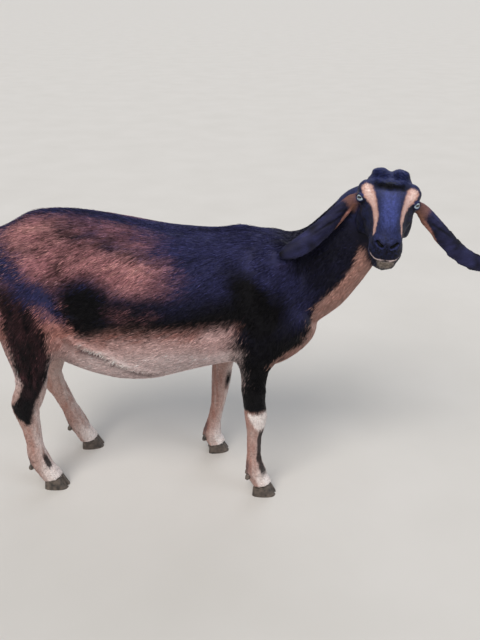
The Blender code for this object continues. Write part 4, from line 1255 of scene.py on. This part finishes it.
for side, cad in EYES.items():
    shape = bmesh.new()
    bmesh.ops.create_uvsphere(shape, u_segments=48, v_segments=32, radius=EYE_RADIUS)
    for v in shape.verts:  # the clear front stands a little proud of the ball
        v.co *= 1 + GLASS_PROUD * max(0.0, v.co.normalized().z - 0.80) / 0.20
    looks = EYE_LOOKS[side] @ HEAD_AXES
    level = unit(np.cross([0.0, 0.0, 1.0], looks))  # a goat keeps its pupils level
    axes = [level, np.cross(looks, level), looks]
    layer = shape.loops.layers.uv.new("OFBake")
    for face in shape.faces:
        for corner_loop in face.loops:
            p = corner_loop.vert.co / EYE_RADIUS
            tilt = math.acos(max(-1.0, min(1.0, p.z / p.length))) / math.pi
            flat = math.hypot(p.x, p.y) or 1.0
            corner_loop[layer].uv = (0.5 + 0.5 * tilt * p.x / flat, 0.5 + 0.5 * tilt * p.y / flat)
    centre = middle(cad) + EYE_SHIFT[side]
    for v in shape.verts:
        v.co = centre + v.co.x * axes[0] + v.co.y * axes[1] + v.co.z * axes[2]
    bmesh.ops.recalc_face_normals(shape, faces=shape.faces)
    ball = piece("glass_eye_" + side, shape)
    ball.data.shade_smooth()
    ball.data.materials.append(glass_eye)
    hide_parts(cad)
    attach(ball, "root")


# ---- claws ----
# Two claws of horn to a foot and two dewclaws behind, kept from the animal and waxed. Horn grows
# down from the hair in rings.
horn, tree = new_material("worn_waxed_horn")
place = node(tree, "TexCoord").outputs["Object"]
# growth rings stand about 3 mm apart
rings = node(tree, "TexWave",
             {"wave_type": "BANDS", "bands_direction": "Z", "Scale": 1 / 0.0105, "Distortion": 2.4,
              "Detail": 2.0, "Detail Scale": 1.6}, {"Vector": place}).outputs["Fac"]
# stains are about 12 mm across
stains = node(tree, "TexNoise", {"Scale": 1 / 0.012, "Detail": 4.0}, {"Vector": place})
stained = two_tones(tree, stains.outputs["Fac"], ("#2b2622", "#6d6056"), (0.32, 0.72))
raised = node(tree, "Bump", {"Strength": 0.5, "Distance": 0.0008}, {"Height": rings})
surface(tree, {"IOR": 1.54, "Roughness": 0.5},
        {"Base Color": shaded(tree, stained, rings, 0.78, 1.1), "Normal": raised.outputs["Normal"]})
for cad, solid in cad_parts.items():
    if cad.startswith(("hoof", "dewclaw")):
        solid.data.materials.clear()
        solid.data.materials.append(horn)


# ---- stage ----
# A pale sweep of floor under soft lamps, seen from a standing person's height.
shape = bmesh.new()
bmesh.ops.create_grid(shape, x_segments=2, y_segments=2, size=160.0)
floor = piece("floor", shape)
paper, tree = new_material("pale_floor")
place = node(tree, "TexCoord")
# faint patches a third of a metre across
grain = node(tree, "TexNoise", {"Scale": 3.0, "Detail": 3.0}, {"Vector": place.outputs["Object"]})
surface(tree, {"Roughness": 0.85},
        {"Base Color": two_tones(tree, grain.outputs["Fac"], ("#c9c7c2", "#d3d1cd"), (0.0, 1.0))})
floor.data.materials.append(paper)
floor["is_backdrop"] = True

world = bpy.data.worlds.new("studio")
bpy.context.scene.world = world
world.use_nodes = True
sky = world.node_tree.nodes["Background"]
sky.inputs["Color"].default_value = (*linear("#eef1f6"), 1)
sky.inputs["Strength"].default_value = 0.50
LAMPS = [("key", (-1.2, -2.4, 3.2), 2.1, "#fff8f0"), ("fill", (3.0, -1.6, 1.8), 0.5, "#eef3ff"),
         ("rim", (0.6, 3.0, 2.6), 0.5, "#f4f6ff")]
for name, at, strength, code in LAMPS:
    lamp = bpy.data.objects.new(name, bpy.data.lights.new(name, "SUN"))
    lamp.data.angle = math.radians(35)
    lamp.data.energy = strength
    lamp.data.color = tuple(linear(code))
    lamp.rotation_euler = (-Vector(at)).to_track_quat("-Z", "Y").to_euler()
    bpy.context.scene.collection.objects.link(lamp)
bpy.context.scene.view_settings.view_transform = "Standard"

CAMERA_ALONG, CAMERA_BACK, CAMERA_HEIGHT = 0.0398, 1.84, 1.29  # metres; back is from the spine
CAMERA_DOWN, LENS = 24.0, 42.2  # degrees and millimetres
camera = bpy.data.objects.new("camera", bpy.data.cameras.new("camera"))
camera.data.lens = LENS
camera.location = (CAMERA_ALONG, spine_y - CAMERA_BACK, CAMERA_HEIGHT)
camera.rotation_euler = (math.radians(90 - CAMERA_DOWN), 0, 0)
bpy.context.scene.collection.objects.link(camera)
bpy.context.scene.camera = camera

low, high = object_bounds()
